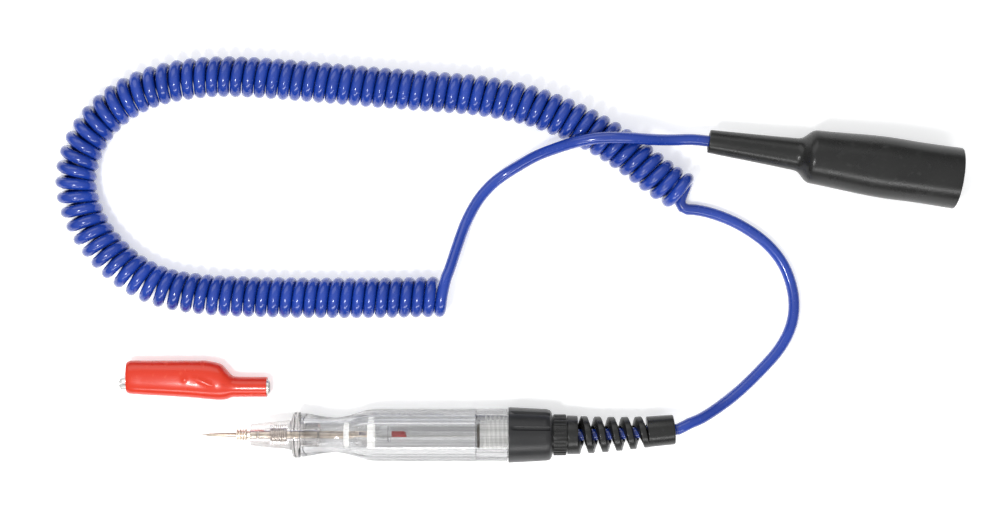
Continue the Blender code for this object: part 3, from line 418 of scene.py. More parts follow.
def rounded(corners, steps=5):
    """A profile of (along, radius, rounding), with each corner that has a rounding made an arc."""
    profile = []
    count = len(corners)
    for i, corner in enumerate(corners):
        here = Vector(corner[:2])
        if len(corner) < 3 or corner[2] == 0:
            profile.append(tuple(here))
            continue
        before, after = Vector(corners[i - 1][:2]), Vector(corners[(i + 1) % count][:2])
        reach = min(corner[2], 0.49 * (before - here).length, 0.49 * (after - here).length)
        start = here + (before - here).normalized() * reach
        end = here + (after - here).normalized() * reach
        for k in range(steps + 1):
            t = k / steps
            profile.append(tuple(start * (1 - t) ** 2 + here * 2 * t * (1 - t) + end * t**2))
    return profile


def turned(name, profile, axle, sides=96, shaped=None, sharp=40):
    """A turned mesh. shaped(along, radius, angle) may change the radius where it isn't round."""
    solid = min(r for _, r in profile) == 0
    if solid:
        first = next(i for i, (_, r) in enumerate(profile) if r == 0 and profile[i - 1][1] == 0)
        profile = profile[first:] + profile[:first]
    points, rows = [], []
    for along, radius in profile:
        if radius == 0:
            rows.append([len(points)] * sides)
            points.append(axle.matrix @ Vector((0, 0, along)))
            continue
        rows.append(range(len(points), len(points) + sides))
        for k in range(sides):
            angle = 2 * math.pi * k / sides
            r = shaped(along, radius, angle) if shaped else radius
            points.append(axle.matrix @ Vector((r * math.cos(angle), r * math.sin(angle), along)))
    faces = []
    pairs = zip(rows, rows[1:]) if solid else zip(rows, rows[1:] + rows[:1])
    for row, following in pairs:
        for k in range(sides):
            n = (k + 1) % sides
            face = [row[k], row[n], following[n], following[k]]
            face = [v for i, v in enumerate(face) if v != face[i - 1]]
            if len(face) > 2:
                faces.append(face)
    mesh = bpy.data.meshes.new(name)
    mesh.from_pydata(points, [], faces)
    faced_outward(mesh, sharp)
    return mesh


def span(node):
    """Where a node on the handle starts and ends, from the needle's point, and its radius."""
    low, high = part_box(node)
    return low.x - tip, high.x - tip, (high.z - low.z) / 2


def lathe_marks(finish):
    """Fine rings left by the cutting tool, across the handle's length."""
    return finish.noise(9000, 1, (1, 0.03, 0.03))


def metal(name, film_scale, clean, filmed, rough, film_rough, low=0.0, high=1.0, detail=4):
    """A bare metal under a patchy film, which shows where its noise is between low and high."""
    finish = Finish(name, Metallic=1.0)
    film = finish.noise(film_scale, detail)
    finish.set(Base_Color=finish.mixed(finish.spread(film, low, high), clean, filmed),
               Roughness=rough + film * film_rough)
    return finish


def turned_piece(name, profile, sides, finish, body, slot, node, **ways):
    """A piece turned about the handle's line, in the place of a CAD node."""
    new_piece(name, turned(name, profile, handle_axle, sides, **ways), finish, body, [node])


steel = metal("warm_nickelled_steel", 420, (0.52, 0.45, 0.37), (0.34, 0.28, 0.22), 0.24, 0.16,
              0.35, 0.7)
steel.bumped(lathe_marks(steel), 0.01 * MM, 0.4)
brass = metal("turned_brass", 350, (0.92, 0.82, 0.71), (0.52, 0.41, 0.32), 0.20, 0.22,
              0.4, 0.75, 5)
brass.bumped(lathe_marks(brass), 0.015 * MM, 0.5)

start, end, radius = span("probe_needle")
needle_profile = [(0, 0), (0.15 * MM, 0.07 * MM), (2.2 * MM, 0.25 * MM), (3.4 * MM, 0.50 * MM),
                  (8.0 * MM, 0.68 * MM), (13.0 * MM, radius), (end, radius), (end, 0)]
turned_piece("needle", needle_profile, 32, steel, "probe", "steel", "probe_needle")

COLLAR_PITCH = 1.0 * MM
COLLAR_CRESTS = 4
start, end, radius = span("probe_collar")
rod_r = span("probe_rod")[2]
collar_end = start + COLLAR_CRESTS * COLLAR_PITCH
bore = 0.95 * MM
profile = [(start, bore), (start, 1.65 * MM, 0.1 * MM)]
for crest in range(COLLAR_CRESTS):
    at = start + crest * COLLAR_PITCH
    profile += [(at + 0.22 * COLLAR_PITCH, radius, 0.10 * MM),
                (at + 0.62 * COLLAR_PITCH, radius, 0.10 * MM),
                (at + 0.80 * COLLAR_PITCH, 1.45 * MM, 0.06 * MM),
                (at + 1.02 * COLLAR_PITCH, 1.45 * MM, 0.06 * MM)]
profile += [(collar_end + 0.1 * MM, rod_r), (end, rod_r, 0.2 * MM), (end, 0),
            (start + 3.2 * MM, 0), (start + 3.2 * MM, bore)]
turned_piece("ribbed_collar", rounded(profile), 64, brass, "probe", "brass", "probe_collar")

start, end, radius = span("probe_rod")
profile = rounded([(start, 0), (start, radius, 0.3 * MM), (end, radius, 0.3 * MM), (end, 0)])
turned_piece("brass_rod", profile, 48, brass, "probe", "brass", "probe_rod")


# Nose. A clear acrylic cone with a finger flange, moulded round a threaded brass insert. Its
# spigot screws into the front of the barrel.
def clear_plastic(name, pale, drawn, edge, bore):
    """Clear moulded acrylic. Flow lines run along it. Its outside is a little drawn and dulled,
    with darker streaks, and its bore is clean. Painted shade: the outside's grey tint, and the
    darker grey it is mixed to where a wall is seen edge on, stand in for the grey seen through the
    walls."""
    finish = Finish(name, Transmission_Weight=1.0, IOR=1.49)
    flow = finish.noise(90, 2, (0.12, 1, 1))
    streak = finish.noise(1500, 3, (0.006, 1, 1))
    # Painted shade: the colour is mixed towards the darker edge grey where a wall is seen edge on.
    edge_on_painted_shade = finish.add("ShaderNodeLayerWeight", {}, {"Blend": 0.5}, "Facing")
    clear = finish.mixed(finish.spread(streak, 0.42, 0.60), pale, drawn)
    skin = finish.mixed(finish.spread(edge_on_painted_shade, 0.15, 0.75), clear, edge)
    across = finish.add("ShaderNodeMapping", {"vector_type": "POINT"}, {
        "Vector": finish.place, "Location": (0, -handle_line.y, -handle_line.z),
        "Scale": (0, 1, 1)})
    away = finish.add("ShaderNodeVectorMath", {"operation": "LENGTH"}, {0: across}, "Value")
    outside = finish.spread(away, bore, bore + 0.3 * MM)
    finish.set(Base_Color=finish.mixed(outside, (0.97, 0.97, 0.97), skin),
               Roughness=0.015 + finish.spread(finish.noise(700, 4), 0.55, 0.8) * 0.05)
    finish.bumped(flow * 0.6 + streak * 0.4, 0.16 * MM, 0.5)
    return finish


rod_bore = rod_r + 0.15 * MM
# The nose's grey tint and darker edge colour are painted shade.
nose_acrylic = clear_plastic("clear_acrylic_nose", (0.89, 0.88, 0.87), (0.70, 0.67, 0.66),
                             (0.42, 0.40, 0.39), rod_bore)
start, end, flange_r = span("nose_cone")
cone_end, flange_at, seam = 33.5 * MM, 34.3 * MM, 37.2 * MM
insert_at, insert_end, insert_r = span("nose_insert")
pocket = insert_r - 0.03 * MM
spigot_r = 4.55 * MM
profile = rounded([
    (start, rod_bore), (start, 4.0 * MM, 0.5 * MM), (cone_end, 5.5 * MM, 0.6 * MM),
    (flange_at, 5.9 * MM, 0.3 * MM), (flange_at, flange_r, 0.9 * MM), (seam, flange_r, 0.8 * MM),
    (seam, spigot_r), (end, spigot_r, 0.3 * MM), (end, rod_bore),
    (insert_end + 0.3 * MM, rod_bore), (insert_end + 0.3 * MM, pocket),
    (insert_at - 0.3 * MM, pocket), (insert_at - 0.3 * MM, rod_bore)])
turned_piece("nose", profile, 96, nose_acrylic, "nose", "clear_acrylic", "nose_cone", sharp=60)


CREST_OUTWARD = math.radians(-90)


def shape_tree(name, lengths, counts):
    """A tree with these named inputs and a material, and the values that come in by them."""
    group = bpy.data.node_groups.new(name, "GeometryNodeTree")
    face = group.interface
    face.new_socket("Geometry", in_out="INPUT", socket_type="NodeSocketGeometry")
    for labels, kind in ((lengths, "Float"), (counts, "Int"), (("Material",), "Material")):
        for label in labels:
            face.new_socket(label, in_out="INPUT", socket_type="NodeSocket" + kind)
    face.new_socket("Geometry", in_out="OUTPUT", socket_type="NodeSocketGeometry")
    tree = Tree(group)
    given = group.nodes.new("NodeGroupInput")
    return tree, {socket.name: Value(tree, socket) for socket in given.outputs if socket.name}


def made_real(tree, shape, material):
    """Ends a tree: its instances are made real and take their material."""
    real = tree.add("GeometryNodeRealizeInstances", {}, {"Geometry": shape})
    painted = tree.add("GeometryNodeSetMaterial", {}, {"Geometry": real, "Material": material})
    tree.feed(tree.tree.nodes.new("NodeGroupOutput").inputs["Geometry"], painted)
    return tree.tree


def wound_tree(name):
    """A tree for a strip wound round an axis, with a rounded section: springs and threads."""
    tree, want = shape_tree(name, ("Turns", "Start radius", "End radius", "Length", "Root width",
                                   "Crest width", "Depth", "Edge"), ("Steps",))
    spiral = tree.add("GeometryNodeCurveSpiral", {}, {
        "Resolution": want["Steps"], "Rotations": want["Turns"], "Height": want["Length"],
        "Start Radius": want["Start radius"], "End Radius": want["End radius"],
        "Reverse": True})
    upright = tree.add("GeometryNodeSetCurveNormal", {"mode": "Z_UP"}, {"Curve": spiral})
    section = tree.add("GeometryNodeCurvePrimitiveQuadrilateral", {"mode": "TRAPEZOID"}, {
        "Height": want["Depth"], "Bottom Width": want["Root width"],
        "Top Width": want["Crest width"], "Offset": 0.0})
    turned_section = tree.add("GeometryNodeTransform", {}, {
        "Geometry": section, "Rotation": (0, 0, CREST_OUTWARD)})
    smooth_section = tree.add("GeometryNodeFilletCurve", {"mode": "POLY"}, {
        "Curve": turned_section, "Count": 3, "Radius": want["Edge"], "Limit Radius": True})
    swept_strip = tree.add("GeometryNodeCurveToMesh", {}, {
        "Curve": upright, "Profile Curve": smooth_section, "Fill Caps": True})
    return made_real(tree, swept_strip, want["Material"])


def grown(name, group, start, **sizes):
    """What a tree makes for these sizes, as a plain mesh that starts this far along the handle."""
    holder = bpy.data.objects.new(name, bpy.data.meshes.new(name))
    bpy.context.scene.collection.objects.link(holder)
    modifier = holder.modifiers.new("grow", "NODES")
    modifier.node_group = group
    sockets = {item.name: item.identifier for item in group.interface.items_tree
               if item.item_type == "SOCKET" and item.in_out == "INPUT"}
    for label, size in sizes.items():
        modifier[sockets[label.replace("_", " ")]] = size
    bpy.context.view_layer.update()
    mesh = bpy.data.meshes.new_from_object(
        holder.evaluated_get(bpy.context.evaluated_depsgraph_get()))
    bpy.data.objects.remove(holder, do_unlink=True)
    mesh.name = name
    mesh.transform(handle_axle.matrix @ Matrix.Translation((0, 0, start)))
    shape = bmesh.new()
    shape.from_mesh(mesh)
    bmesh.ops.remove_doubles(shape, verts=shape.verts, dist=1e-6)
    shape.to_mesh(mesh)
    shape.free()
    faced_outward(mesh, 50)
    return mesh


def added(mesh, *others):
    """One mesh out of several."""
    shape = bmesh.new()
    for part in (mesh, *others):
        shape.from_mesh(part)
    shape.to_mesh(mesh)
    shape.free()
    for part in others:
        bpy.data.meshes.remove(part)
    mesh.shade_smooth()
    mesh.set_sharp_from_angle(angle=math.radians(45))
    return mesh


strip_tree = wound_tree("wound_strip")
washed_brass = metal("tin_washed_brass", 500, (0.96, 0.90, 0.84), (0.78, 0.70, 0.64), 0.30, 0.2)
washed_brass.bumped(lathe_marks(washed_brass), 0.015 * MM, 0.5)
insert_core_r = insert_r - 0.25 * MM
insert_core = turned("nose_insert", rounded([
    (insert_at, rod_bore), (insert_at, insert_core_r, 0.2 * MM),
    (insert_end, insert_core_r, 0.2 * MM), (insert_end, rod_bore)]), handle_axle, 64)
INSERT_PITCH = 0.8 * MM
threaded_length = insert_end - insert_at - 1.0 * MM
insert_thread = grown(
    "insert_thread", strip_tree, insert_at + 0.5 * MM, Turns=threaded_length / INSERT_PITCH,
    Start_radius=insert_r - 0.15 * MM, End_radius=insert_r - 0.15 * MM, Length=threaded_length,
    Root_width=0.8 * INSERT_PITCH, Crest_width=0.25 * INSERT_PITCH, Depth=0.30 * MM,
    Edge=0.08 * INSERT_PITCH, Steps=40, Material=washed_brass.material)
new_piece("brass_insert", added(insert_core, insert_thread), washed_brass, "nose",
          ["nose_insert"])


# Barrel. A clear acrylic tube with a waist behind the seam and a flare to the parallel body. It
# is injection moulded, so faint flow lines run along it.
FLARE_STEPS = 18
SEAM_R, WAIST_R = 8.1 * MM, 6.45 * MM
start, end, barrel_r = span("barrel")
cap_at = span("rear_cap")[0]
waist_at, flare_end = 49.7 * MM, 65.2 * MM
body_end = cap_at - 0.3 * MM
barrel_spigot_r = barrel_r - 1.1 * MM
front_bore, lamp_bore, rear_bore = 4.7 * MM, 5.8 * MM, 6.5 * MM
contact_at = span("contact_disc")[0]
step_at = span("rear_disc")[0] - 3.5 * MM
BORE_FLUTES = 10
FLUTE_DEPTH = 0.28 * MM
# The barrel's skin is tinted deep grey as painted shade, for the grey seen through its walls.
acrylic = clear_plastic("clear_acrylic_barrel", (0.62, 0.62, 0.625), (0.46, 0.46, 0.465),
                        (0.46, 0.46, 0.465), lamp_bore + FLUTE_DEPTH)


def eased(a, b, t):
    """From a to b as t goes from 0 to 1, level at both ends."""
    return a + (b - a) * (0.5 - 0.5 * math.cos(math.pi * t))


profile = [(start, front_bore), (start, SEAM_R, 0.4 * MM)]
for i in range(1, FLARE_STEPS + 1):
    t = i / FLARE_STEPS
    profile.append((start + (waist_at - start) * t, eased(SEAM_R, WAIST_R, t**0.8)))
for i in range(1, FLARE_STEPS + 1):
    t = i / FLARE_STEPS
    profile.append((waist_at + (flare_end - waist_at) * t, eased(WAIST_R, barrel_r, t)))
profile += [
    (body_end, barrel_r, 0.3 * MM), (body_end, barrel_spigot_r), (end, barrel_spigot_r, 0.3 * MM),
    (end, rear_bore), (contact_at - 0.3 * MM, rear_bore, 0.2 * MM),
    (contact_at - 0.3 * MM, lamp_bore, 0.2 * MM), (step_at + 2.2 * MM, lamp_bore, 2.5 * MM),
    (step_at - 4.5 * MM, front_bore, 2.5 * MM)]


def fluted(along, radius, angle):
    """Shallow flutes down the bore, from the core pin that moulded it."""
    if radius > rear_bore + 0.05 * MM or along < step_at - 2 * MM or along > contact_at:
        return radius
    return radius + FLUTE_DEPTH * (0.5 + 0.5 * math.cos(BORE_FLUTES * angle)) ** 3


turned_piece("clear_barrel", rounded(profile), 160, acrylic, "handle", "clear_acrylic", "barrel",
             shaped=fluted, sharp=60)


# Inside the barrel. White nylon discs centre the rod, a small clear bulb lights between the rod
# and the contact, and a sleeved resistor lead, contact disc and spring carry the current back.
def white_nylon(name, painted_glow):
    """White nylon with a painted glow: an emission makes it show bright inside the clear barrel,
    though it is no lamp.
    """
    finish = Finish(name, Roughness=0.42, Emission_Color=(1.0, 1.0, 0.98), Emission_Strength=painted_glow)
    milky = finish.noise(260, 3)
    finish.set(Base_Color=finish.mixed(milky, (0.92, 0.92, 0.90), (0.84, 0.84, 0.81)))
    finish.bumped(finish.noise(1800, 3), 0.03 * MM, 0.5)
    return finish


# The discs and the plug shine by a painted glow from an emission, not by any lamp.
nylon = white_nylon("nylon_discs", 0.85)
plug_nylon = white_nylon("nylon_plug", 0.40)

for node in ("front_disc", "rear_disc"):
    start, end, radius = span(node)
    profile = rounded([
        (start, rod_bore), (start, radius - 0.9 * MM, 0.2 * MM),
        (start + 0.5 * MM, radius, 0.2 * MM), (end - 0.4 * MM, radius, 0.3 * MM),
        (end, radius - 0.5 * MM, 0.2 * MM), (end, rod_bore)])
    turned_piece("nylon_" + node, profile, 72, nylon, "handle", "white_nylon", node)

glass = Finish("bulb_glass", Transmission_Weight=1.0, IOR=1.46, Base_Color=(0.97, 0.98, 0.98))
glass.set(Roughness=0.01 + glass.spread(glass.noise(900, 3), 0.6, 0.8) * 0.05)
start, end, _ = span("lamp")
bulb_r = 2.5 * MM
rim_r = bulb_r + 0.15 * MM
DOME_RINGS = 10
dome = [(start + bulb_r * (1 - math.cos(a)), bulb_r * math.sin(a))
        for a in (math.pi / 2 * i / DOME_RINGS for i in range(1, DOME_RINGS + 1))]
bulb_profile = [(start, 0), *dome, (end - 1.0 * MM, bulb_r), (end - 0.9 * MM, rim_r - 0.1 * MM),
                (end - 0.8 * MM, rim_r), (end - 0.1 * MM, rim_r), (end, rim_r - 0.1 * MM),
                (end, 0)]
turned_piece("bulb", bulb_profile, 64, glass, "handle", "lamp_glass", "lamp")

sleeving = Finish("red_sleeving", Coat_Weight=0.2)
shrink = sleeving.noise(700, 3)
sleeving.set(Base_Color=sleeving.mixed(shrink, (0.72, 0.045, 0.035), (0.55, 0.03, 0.025)),
             Roughness=0.34 + shrink * 0.15)
sleeving.bumped(sleeving.noise(1500, 3), 0.04 * MM, 0.6)
start, end, radius = span("resistor_sleeve")
profile = rounded([
    (start, 0), (start, radius, 0.4 * MM), (start + 1.6 * MM, radius - 0.12 * MM, 0.8 * MM),
    (end - 1.2 * MM, radius, 0.8 * MM), (end, radius - 0.5 * MM, 0.4 * MM), (end, 0)])
turned_piece("sleeved_resistor", profile, 48, sleeving, "handle", "red_sleeving",
             "resistor_sleeve")

tinned = metal("tinned_wire", 1200, (0.72, 0.71, 0.68), (0.52, 0.51, 0.49), 0.22, 0.25)
tinned.bumped(tinned.noise(3000, 2), 0.01 * MM, 0.5)
start, end, radius = span("resistor_lead")
turned_piece("resistor_wire", rounded([
    (start, 0), (start, radius, 0.1 * MM), (end, radius, 0.1 * MM), (end, 0)]), 24,
    tinned, "handle", "steel", "resistor_lead")
lead_d = 0.5 * MM
low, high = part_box("lamp_lead")
top = high.z - lead_d / 2
front, back = low.x + lead_d / 2, high.x - lead_d / 2
axis_z = handle_line.z
lead_route = [(back, axis_z + 2.0 * MM), (back, top - 0.5 * MM), (back - 0.4 * MM, top),
              (front + 0.4 * MM, top), (front, top - 0.5 * MM), (front, axis_z + 0.2 * MM)]
lead_path = smooth_route([(x, handle_line.y, z) for x, z in lead_route], 0.2 * MM)
new_piece("bulb_wire", swept("bulb_wire", lead_path, lead_d / 2, 10), tinned, "handle",
          ["lamp_lead"])

aged_brass = metal("aged_brass", 500, (0.22, 0.18, 0.13), (0.12, 0.10, 0.08), 0.30, 0.2)
aged_brass.bumped(aged_brass.noise(2600, 2), 0.01 * MM, 0.5)
start, end, radius = span("contact_disc")
turned_piece("contact_plate", rounded([
    (start, 0), (start, radius - 0.3 * MM), (start + 0.1 * MM, radius, 0.2 * MM),
    (end, radius, 0.2 * MM), (end, 0)]), 64, aged_brass, "handle", "brass", "contact_disc")

start, end, radius = span("contact_spring")
SPRING_WIRE = 0.6 * MM
new_piece("contact_coil", grown(
    "contact_coil", strip_tree, start + SPRING_WIRE / 2, Turns=6.0,
    Start_radius=radius - SPRING_WIRE / 2, End_radius=radius - SPRING_WIRE / 2,
    Length=end - start - SPRING_WIRE, Root_width=SPRING_WIRE, Crest_width=SPRING_WIRE,
    Depth=SPRING_WIRE, Edge=0.49 * SPRING_WIRE, Steps=36, Material=tinned.material),
    tinned, "handle", ["contact_spring"])

start, end, head_r = span("cord_terminal")
pin_r = 2.3 * MM
turned_piece("terminal", rounded([
    (start, 0), (start, head_r, 0.2 * MM), (start + 0.9 * MM, head_r, 0.2 * MM),
    (start + 0.9 * MM, pin_r), (end, pin_r, 0.3 * MM), (end, 0)]), 48, brass, "handle", "brass",
    "cord_terminal")

start, end, radius = span("rear_plug")
spring_bore = span("contact_spring")[2] + 0.3 * MM
head_end = span("cord_terminal")[0] + 1.2 * MM
plug_core = turned("rear_plug", rounded([
    (start, spring_bore), (start, radius - 0.7 * MM, 0.3 * MM), (end, radius - 0.7 * MM, 0.3 * MM),
    (end, pin_r + 0.3 * MM), (head_end, pin_r + 0.3 * MM), (head_end, spring_bore)]),
    handle_axle, 72)
plug_thread = grown(
    "plug_thread", strip_tree, start + 1.0 * MM, Turns=10.0, Start_radius=radius - 0.45 * MM,
    End_radius=radius - 0.45 * MM, Length=end - start - 2.0 * MM, Root_width=1.3 * MM,
    Crest_width=0.5 * MM, Depth=0.9 * MM, Edge=0.15 * MM, Steps=48,
    Material=plug_nylon.material)
new_piece("threaded_plug", added(plug_core, plug_thread), plug_nylon, "handle",
          ["rear_plug"])


# Rear cap. A moulded black nut with grip grooves. It screws over the barrel's spigot and clamps
# the strain relief's flange through a steel washer.
GROOVE_ANGLES = [math.radians(a) for a in (341, 301, 161, 121)]
GROOVE_HALF = math.radians(4.5)
GROOVE_DEPTH = 0.65 * MM
GROOVE_FROM, GROOVE_FADE = 1.2 * MM, 0.8 * MM
black = Finish("black_moulded_plastic", Specular_IOR_Level=0.45)
grain = black.noise(2400, 3)
cast = black.noise(120, 3)
rub = black.spread(black.noise(500, 5), 0.60, 0.78)
dark = black.mixed(cast, (0.009, 0.009, 0.010), (0.015, 0.015, 0.016))
black.set(Base_Color=black.mixed(rub * 0.5, dark, (0.040, 0.040, 0.040)),
          Roughness=0.30 + cast * 0.10 + rub * 0.12)
black.bumped(grain, 0.04 * MM, 0.55)

start, end, cap_r = span("rear_cap")
cap_rear = cap_r - 0.7 * MM
cap_hole = 7.8 * MM
cap_bore = barrel_spigot_r + 0.3 * MM
web_at = end - 4.0 * MM
BODY_RINGS = 16
body_steps = [(start + (end - 2.6 * MM - start) * t / BODY_RINGS,
               cap_r + (cap_rear - cap_r) * t / BODY_RINGS) for t in range(1, BODY_RINGS)]
profile = rounded([(start, cap_bore), (start, cap_r, 0.4 * MM), *body_steps,
                   (end - 2.2 * MM, cap_rear, 0.4 * MM),
                   (end - 0.6 * MM, cap_rear - 0.35 * MM, 1.2 * MM),
                   (end, cap_rear - 1.5 * MM, 0.8 * MM), (end, cap_hole), (web_at, cap_hole),
                   (web_at, cap_bore)], 6)


def grooved(along, radius, angle):
    """Cuts the grip grooves, which run out before the front rim and the rounded rear edge."""
    if radius < cap_rear - 0.4 * MM:
        return radius
    fade = min(1.0, max(0.0, (along - start - GROOVE_FROM) / GROOVE_FADE))
    off = min(abs(angle - groove) for groove in GROOVE_ANGLES)
    share = max(0.0, 1 - (off / GROOVE_HALF) ** 2)
    return radius - GROOVE_DEPTH * fade * share**0.8


turned_piece("rear_cap_nut", profile, 432, black, "cap", "black_plastic", "rear_cap",
             shaped=grooved)
start, end, radius = span("cap_washer")
turned_piece("thrust_washer", rounded([
    (start, cap_hole), (start, radius, 0.2 * MM), (end, radius, 0.2 * MM), (end, cap_hole)]),
    96, tinned, "washer", "steel", "cap_washer")


# Strain relief. One black rubber moulding: a head with a collar, a helical strip that flexes and
# an end sleeve that grips the cord. A finely ribbed ring sits on its neck.
rubber = Finish("black_rubber", Specular_IOR_Level=0.4)
bloom = rubber.noise(150, 4)
pores = rubber.noise(3200, 3)
dust = rubber.spread(rubber.noise(420, 5), 0.58, 0.80)
clean = rubber.mixed(bloom, (0.008, 0.008, 0.008), (0.014, 0.014, 0.013))
rubber.set(Base_Color=rubber.mixed(dust * 0.4, clean, (0.040, 0.040, 0.039)),
           Roughness=0.22 + bloom * 0.12 + dust * 0.15)
rubber.bumped(pores, 0.05 * MM, 0.5)

FLEX_LENGTH = 25.6 * MM
SLEEVE_LENGTH = 9.9 * MM
FLEX_PITCH = 5.05 * MM
low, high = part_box("strain_relief")
flange_front = low.x - tip
ring_at, ring_end, ring_r = span("relief_ring")
flex_at = 138.2 * MM
relief_end = flex_at + FLEX_LENGTH + SLEEVE_LENGTH
head_r, sleeve_r = 7.1 * MM, 5.45 * MM
relief_bore = CORD_D / 2 + 0.5 * MM
flange_r, seat_r, neck_r = 8.5 * MM, 6.2 * MM, 7.3 * MM
head = turned("relief_head", rounded([
    (flange_front, relief_bore), (flange_front, flange_r, 0.2 * MM),
    (flange_front + 1.6 * MM, flange_r, 0.2 * MM), (flange_front + 1.6 * MM, neck_r),
    (ring_at - 0.2 * MM, neck_r, 0.2 * MM), (ring_at - 0.2 * MM, seat_r),
    (ring_end + 0.3 * MM, seat_r), (ring_end + 0.3 * MM, head_r, 0.3 * MM),
    (flex_at, head_r - 0.1 * MM, 0.3 * MM), (flex_at, relief_bore)]), handle_axle, 96)
sleeve_at = flex_at + FLEX_LENGTH
sleeve = turned("relief_sleeve", rounded([
    (sleeve_at, relief_bore), (sleeve_at, sleeve_r + 0.15 * MM, 0.3 * MM),
    (relief_end, sleeve_r, 0.7 * MM), (relief_end, relief_bore, 0.3 * MM)]), handle_axle, 96)
STRIP_DEPTH = 3.3 * MM
strip_turns = FLEX_LENGTH / FLEX_PITCH + 0.6
strip_length = strip_turns * FLEX_PITCH
strip = grown("relief_strip", strip_tree, flex_at - 1.3 * MM,
              Turns=strip_turns, Start_radius=head_r - STRIP_DEPTH / 2 - 0.05 * MM,
              End_radius=sleeve_r - STRIP_DEPTH / 2 + 0.15 * MM, Length=strip_length,
              Root_width=3.9 * MM, Crest_width=2.0 * MM, Depth=STRIP_DEPTH, Edge=0.3 * MM,
              Steps=48, Material=rubber.material)
relief = added(head, sleeve, strip)


def bent(mesh):
    """Bends what is behind the relief's head towards the cord's side, as it lies."""
    for vertex in mesh.vertices:
        x, y, z = vertex.co
        past = max(0.0, x - tip - flex_at)
        curved = min(past, FLEX_LENGTH)
        angle = RELIEF_BEND * curved / FLEX_LENGTH
        turn_r = FLEX_LENGTH / RELIEF_BEND
        side = turn_r * (1 - math.cos(angle)) + (past - curved) * math.sin(angle)
        ahead = turn_r * math.sin(angle) + (past - curved) * math.cos(angle)
        off = y - handle_line.y
        vertex.co = (x - past + ahead - off * math.sin(angle),
                     handle_line.y + off * math.cos(angle) + side, z)
    return mesh


new_piece("strain_relief_boot", bent(relief), rubber, "handle", ["strain_relief"])


def ribs_tree(name):
    """A tree for ribs set evenly round a circle about Z."""
    tree, want = shape_tree(name, ("Radius", "Width", "Depth", "Length", "Edge"), ("Count",))
    circle = tree.add("GeometryNodeCurvePrimitiveCircle", {"mode": "RADIUS"}, {
        "Resolution": want["Count"], "Radius": want["Radius"]})
    spots = tree.add("GeometryNodeCurveToPoints", {"mode": "EVALUATED"}, {"Curve": circle})
    place = tree.add("GeometryNodeInputPosition")
    facing = tree.add("FunctionNodeAlignRotationToVector", {"axis": "X"}, {"Vector": place})
    section = tree.add("GeometryNodeCurvePrimitiveQuadrilateral", {}, {
        "Width": want["Depth"], "Height": want["Width"]})
    eased_section = tree.add("GeometryNodeFilletCurve", {"mode": "POLY"}, {
        "Curve": section, "Count": 2, "Radius": want["Edge"], "Limit Radius": True})
    line = tree.add("GeometryNodeCurvePrimitiveLine", {}, {"End": tree.add(
        "ShaderNodeCombineXYZ", {}, {"Z": want["Length"]})})
    rib = tree.add("GeometryNodeCurveToMesh", {}, {
        "Curve": line, "Profile Curve": eased_section, "Fill Caps": True})
    many = tree.add("GeometryNodeInstanceOnPoints", {}, {
        "Points": spots, "Instance": rib, "Rotation": facing})
    return made_real(tree, many, want["Material"])


RING_RIBS = 30
ring_core = turned("relief_ring", rounded([
    (ring_at, seat_r + 0.3 * MM), (ring_at, ring_r - 0.3 * MM, 0.1 * MM),
    (ring_end, ring_r - 0.3 * MM, 0.1 * MM), (ring_end, seat_r + 0.3 * MM)]), handle_axle, 120)
ring_ribs = grown("ring_ribs", ribs_tree("ring_of_ribs"), ring_at + 0.25 * MM,
                  Count=RING_RIBS, Radius=ring_r - 0.35 * MM, Width=0.85 * MM, Depth=0.66 * MM,
                  Length=ring_end - ring_at - 0.5 * MM, Edge=0.2 * MM, Material=rubber.material)
new_piece("ribbed_ring", added(ring_core, ring_ribs), rubber, "handle",
          ["relief_ring"])

inner_start = span("cord_in_relief")[0]
inner = [(tip + inner_start, 0), (tip + 0.5 * (inner_start + flex_at), 0), (tip + flex_at, 0)]
BEND_STEPS = 5
for i in range(1, BEND_STEPS + 1):
    angle = RELIEF_BEND * i / BEND_STEPS
    inner.append((tip + flex_at + FLEX_LENGTH / RELIEF_BEND * math.sin(angle),
                  FLEX_LENGTH / RELIEF_BEND * (1 - math.cos(angle))))
inner_route = [(x, handle_line.y + y, handle_line.z) for x, y in inner]
inner_route.append(tuple(cord_exit - leaving * 0.2 * MM))
inner_cord = swept("cord_in_strain_relief", smooth_route(inner_route, 1.5 * MM), CORD_D / 2, 24)
new_piece("cord_in_strain_relief", inner_cord, jacket, "handle", ["cord_in_relief"])


# Ground clip's boot. A dipped black rubber sleeve with a long neck on the cord and an open bell
# over the jaws. It is pushed back along the cord to reach the clip.
boot_axle = Axle(BOOT_TAIL, boot_axis)
BOOT_LENGTH = 91.8 * MM
WALL = 1.5 * MM
RING_GAP = 2.5 * MM
mouth_r = 11.25 * MM
neck_end, shoulder_end, bend_at = 33.5 * MM, 37.3 * MM, 66.5 * MM
boot_bore = CORD_D / 2 + 1.0 * MM
outer = [(0, boot_bore, 0.5 * MM), (0, 4.25 * MM, 0.7 * MM), (neck_end, 6.0 * MM, 1.6 * MM),
         (shoulder_end - 0.6 * MM, 9.1 * MM, 1.2 * MM),
         (shoulder_end + 0.8 * MM, 9.78 * MM, 1.6 * MM),
         (bend_at, 10.8 * MM, 4.0 * MM), (BOOT_LENGTH, mouth_r, 0.6 * MM)]
inner = [(BOOT_LENGTH, mouth_r - WALL, 0.5 * MM), (bend_at, 10.8 * MM - WALL, 3.0 * MM),
         (shoulder_end, 9.75 * MM - WALL, 1.0 * MM), (neck_end, 6.0 * MM - WALL, 1.0 * MM),
         (neck_end - 3.8 * MM, 6.0 * MM - WALL), (neck_end - 5.3 * MM, boot_bore)]
profile = rounded(outer + inner, 8)
fine = []
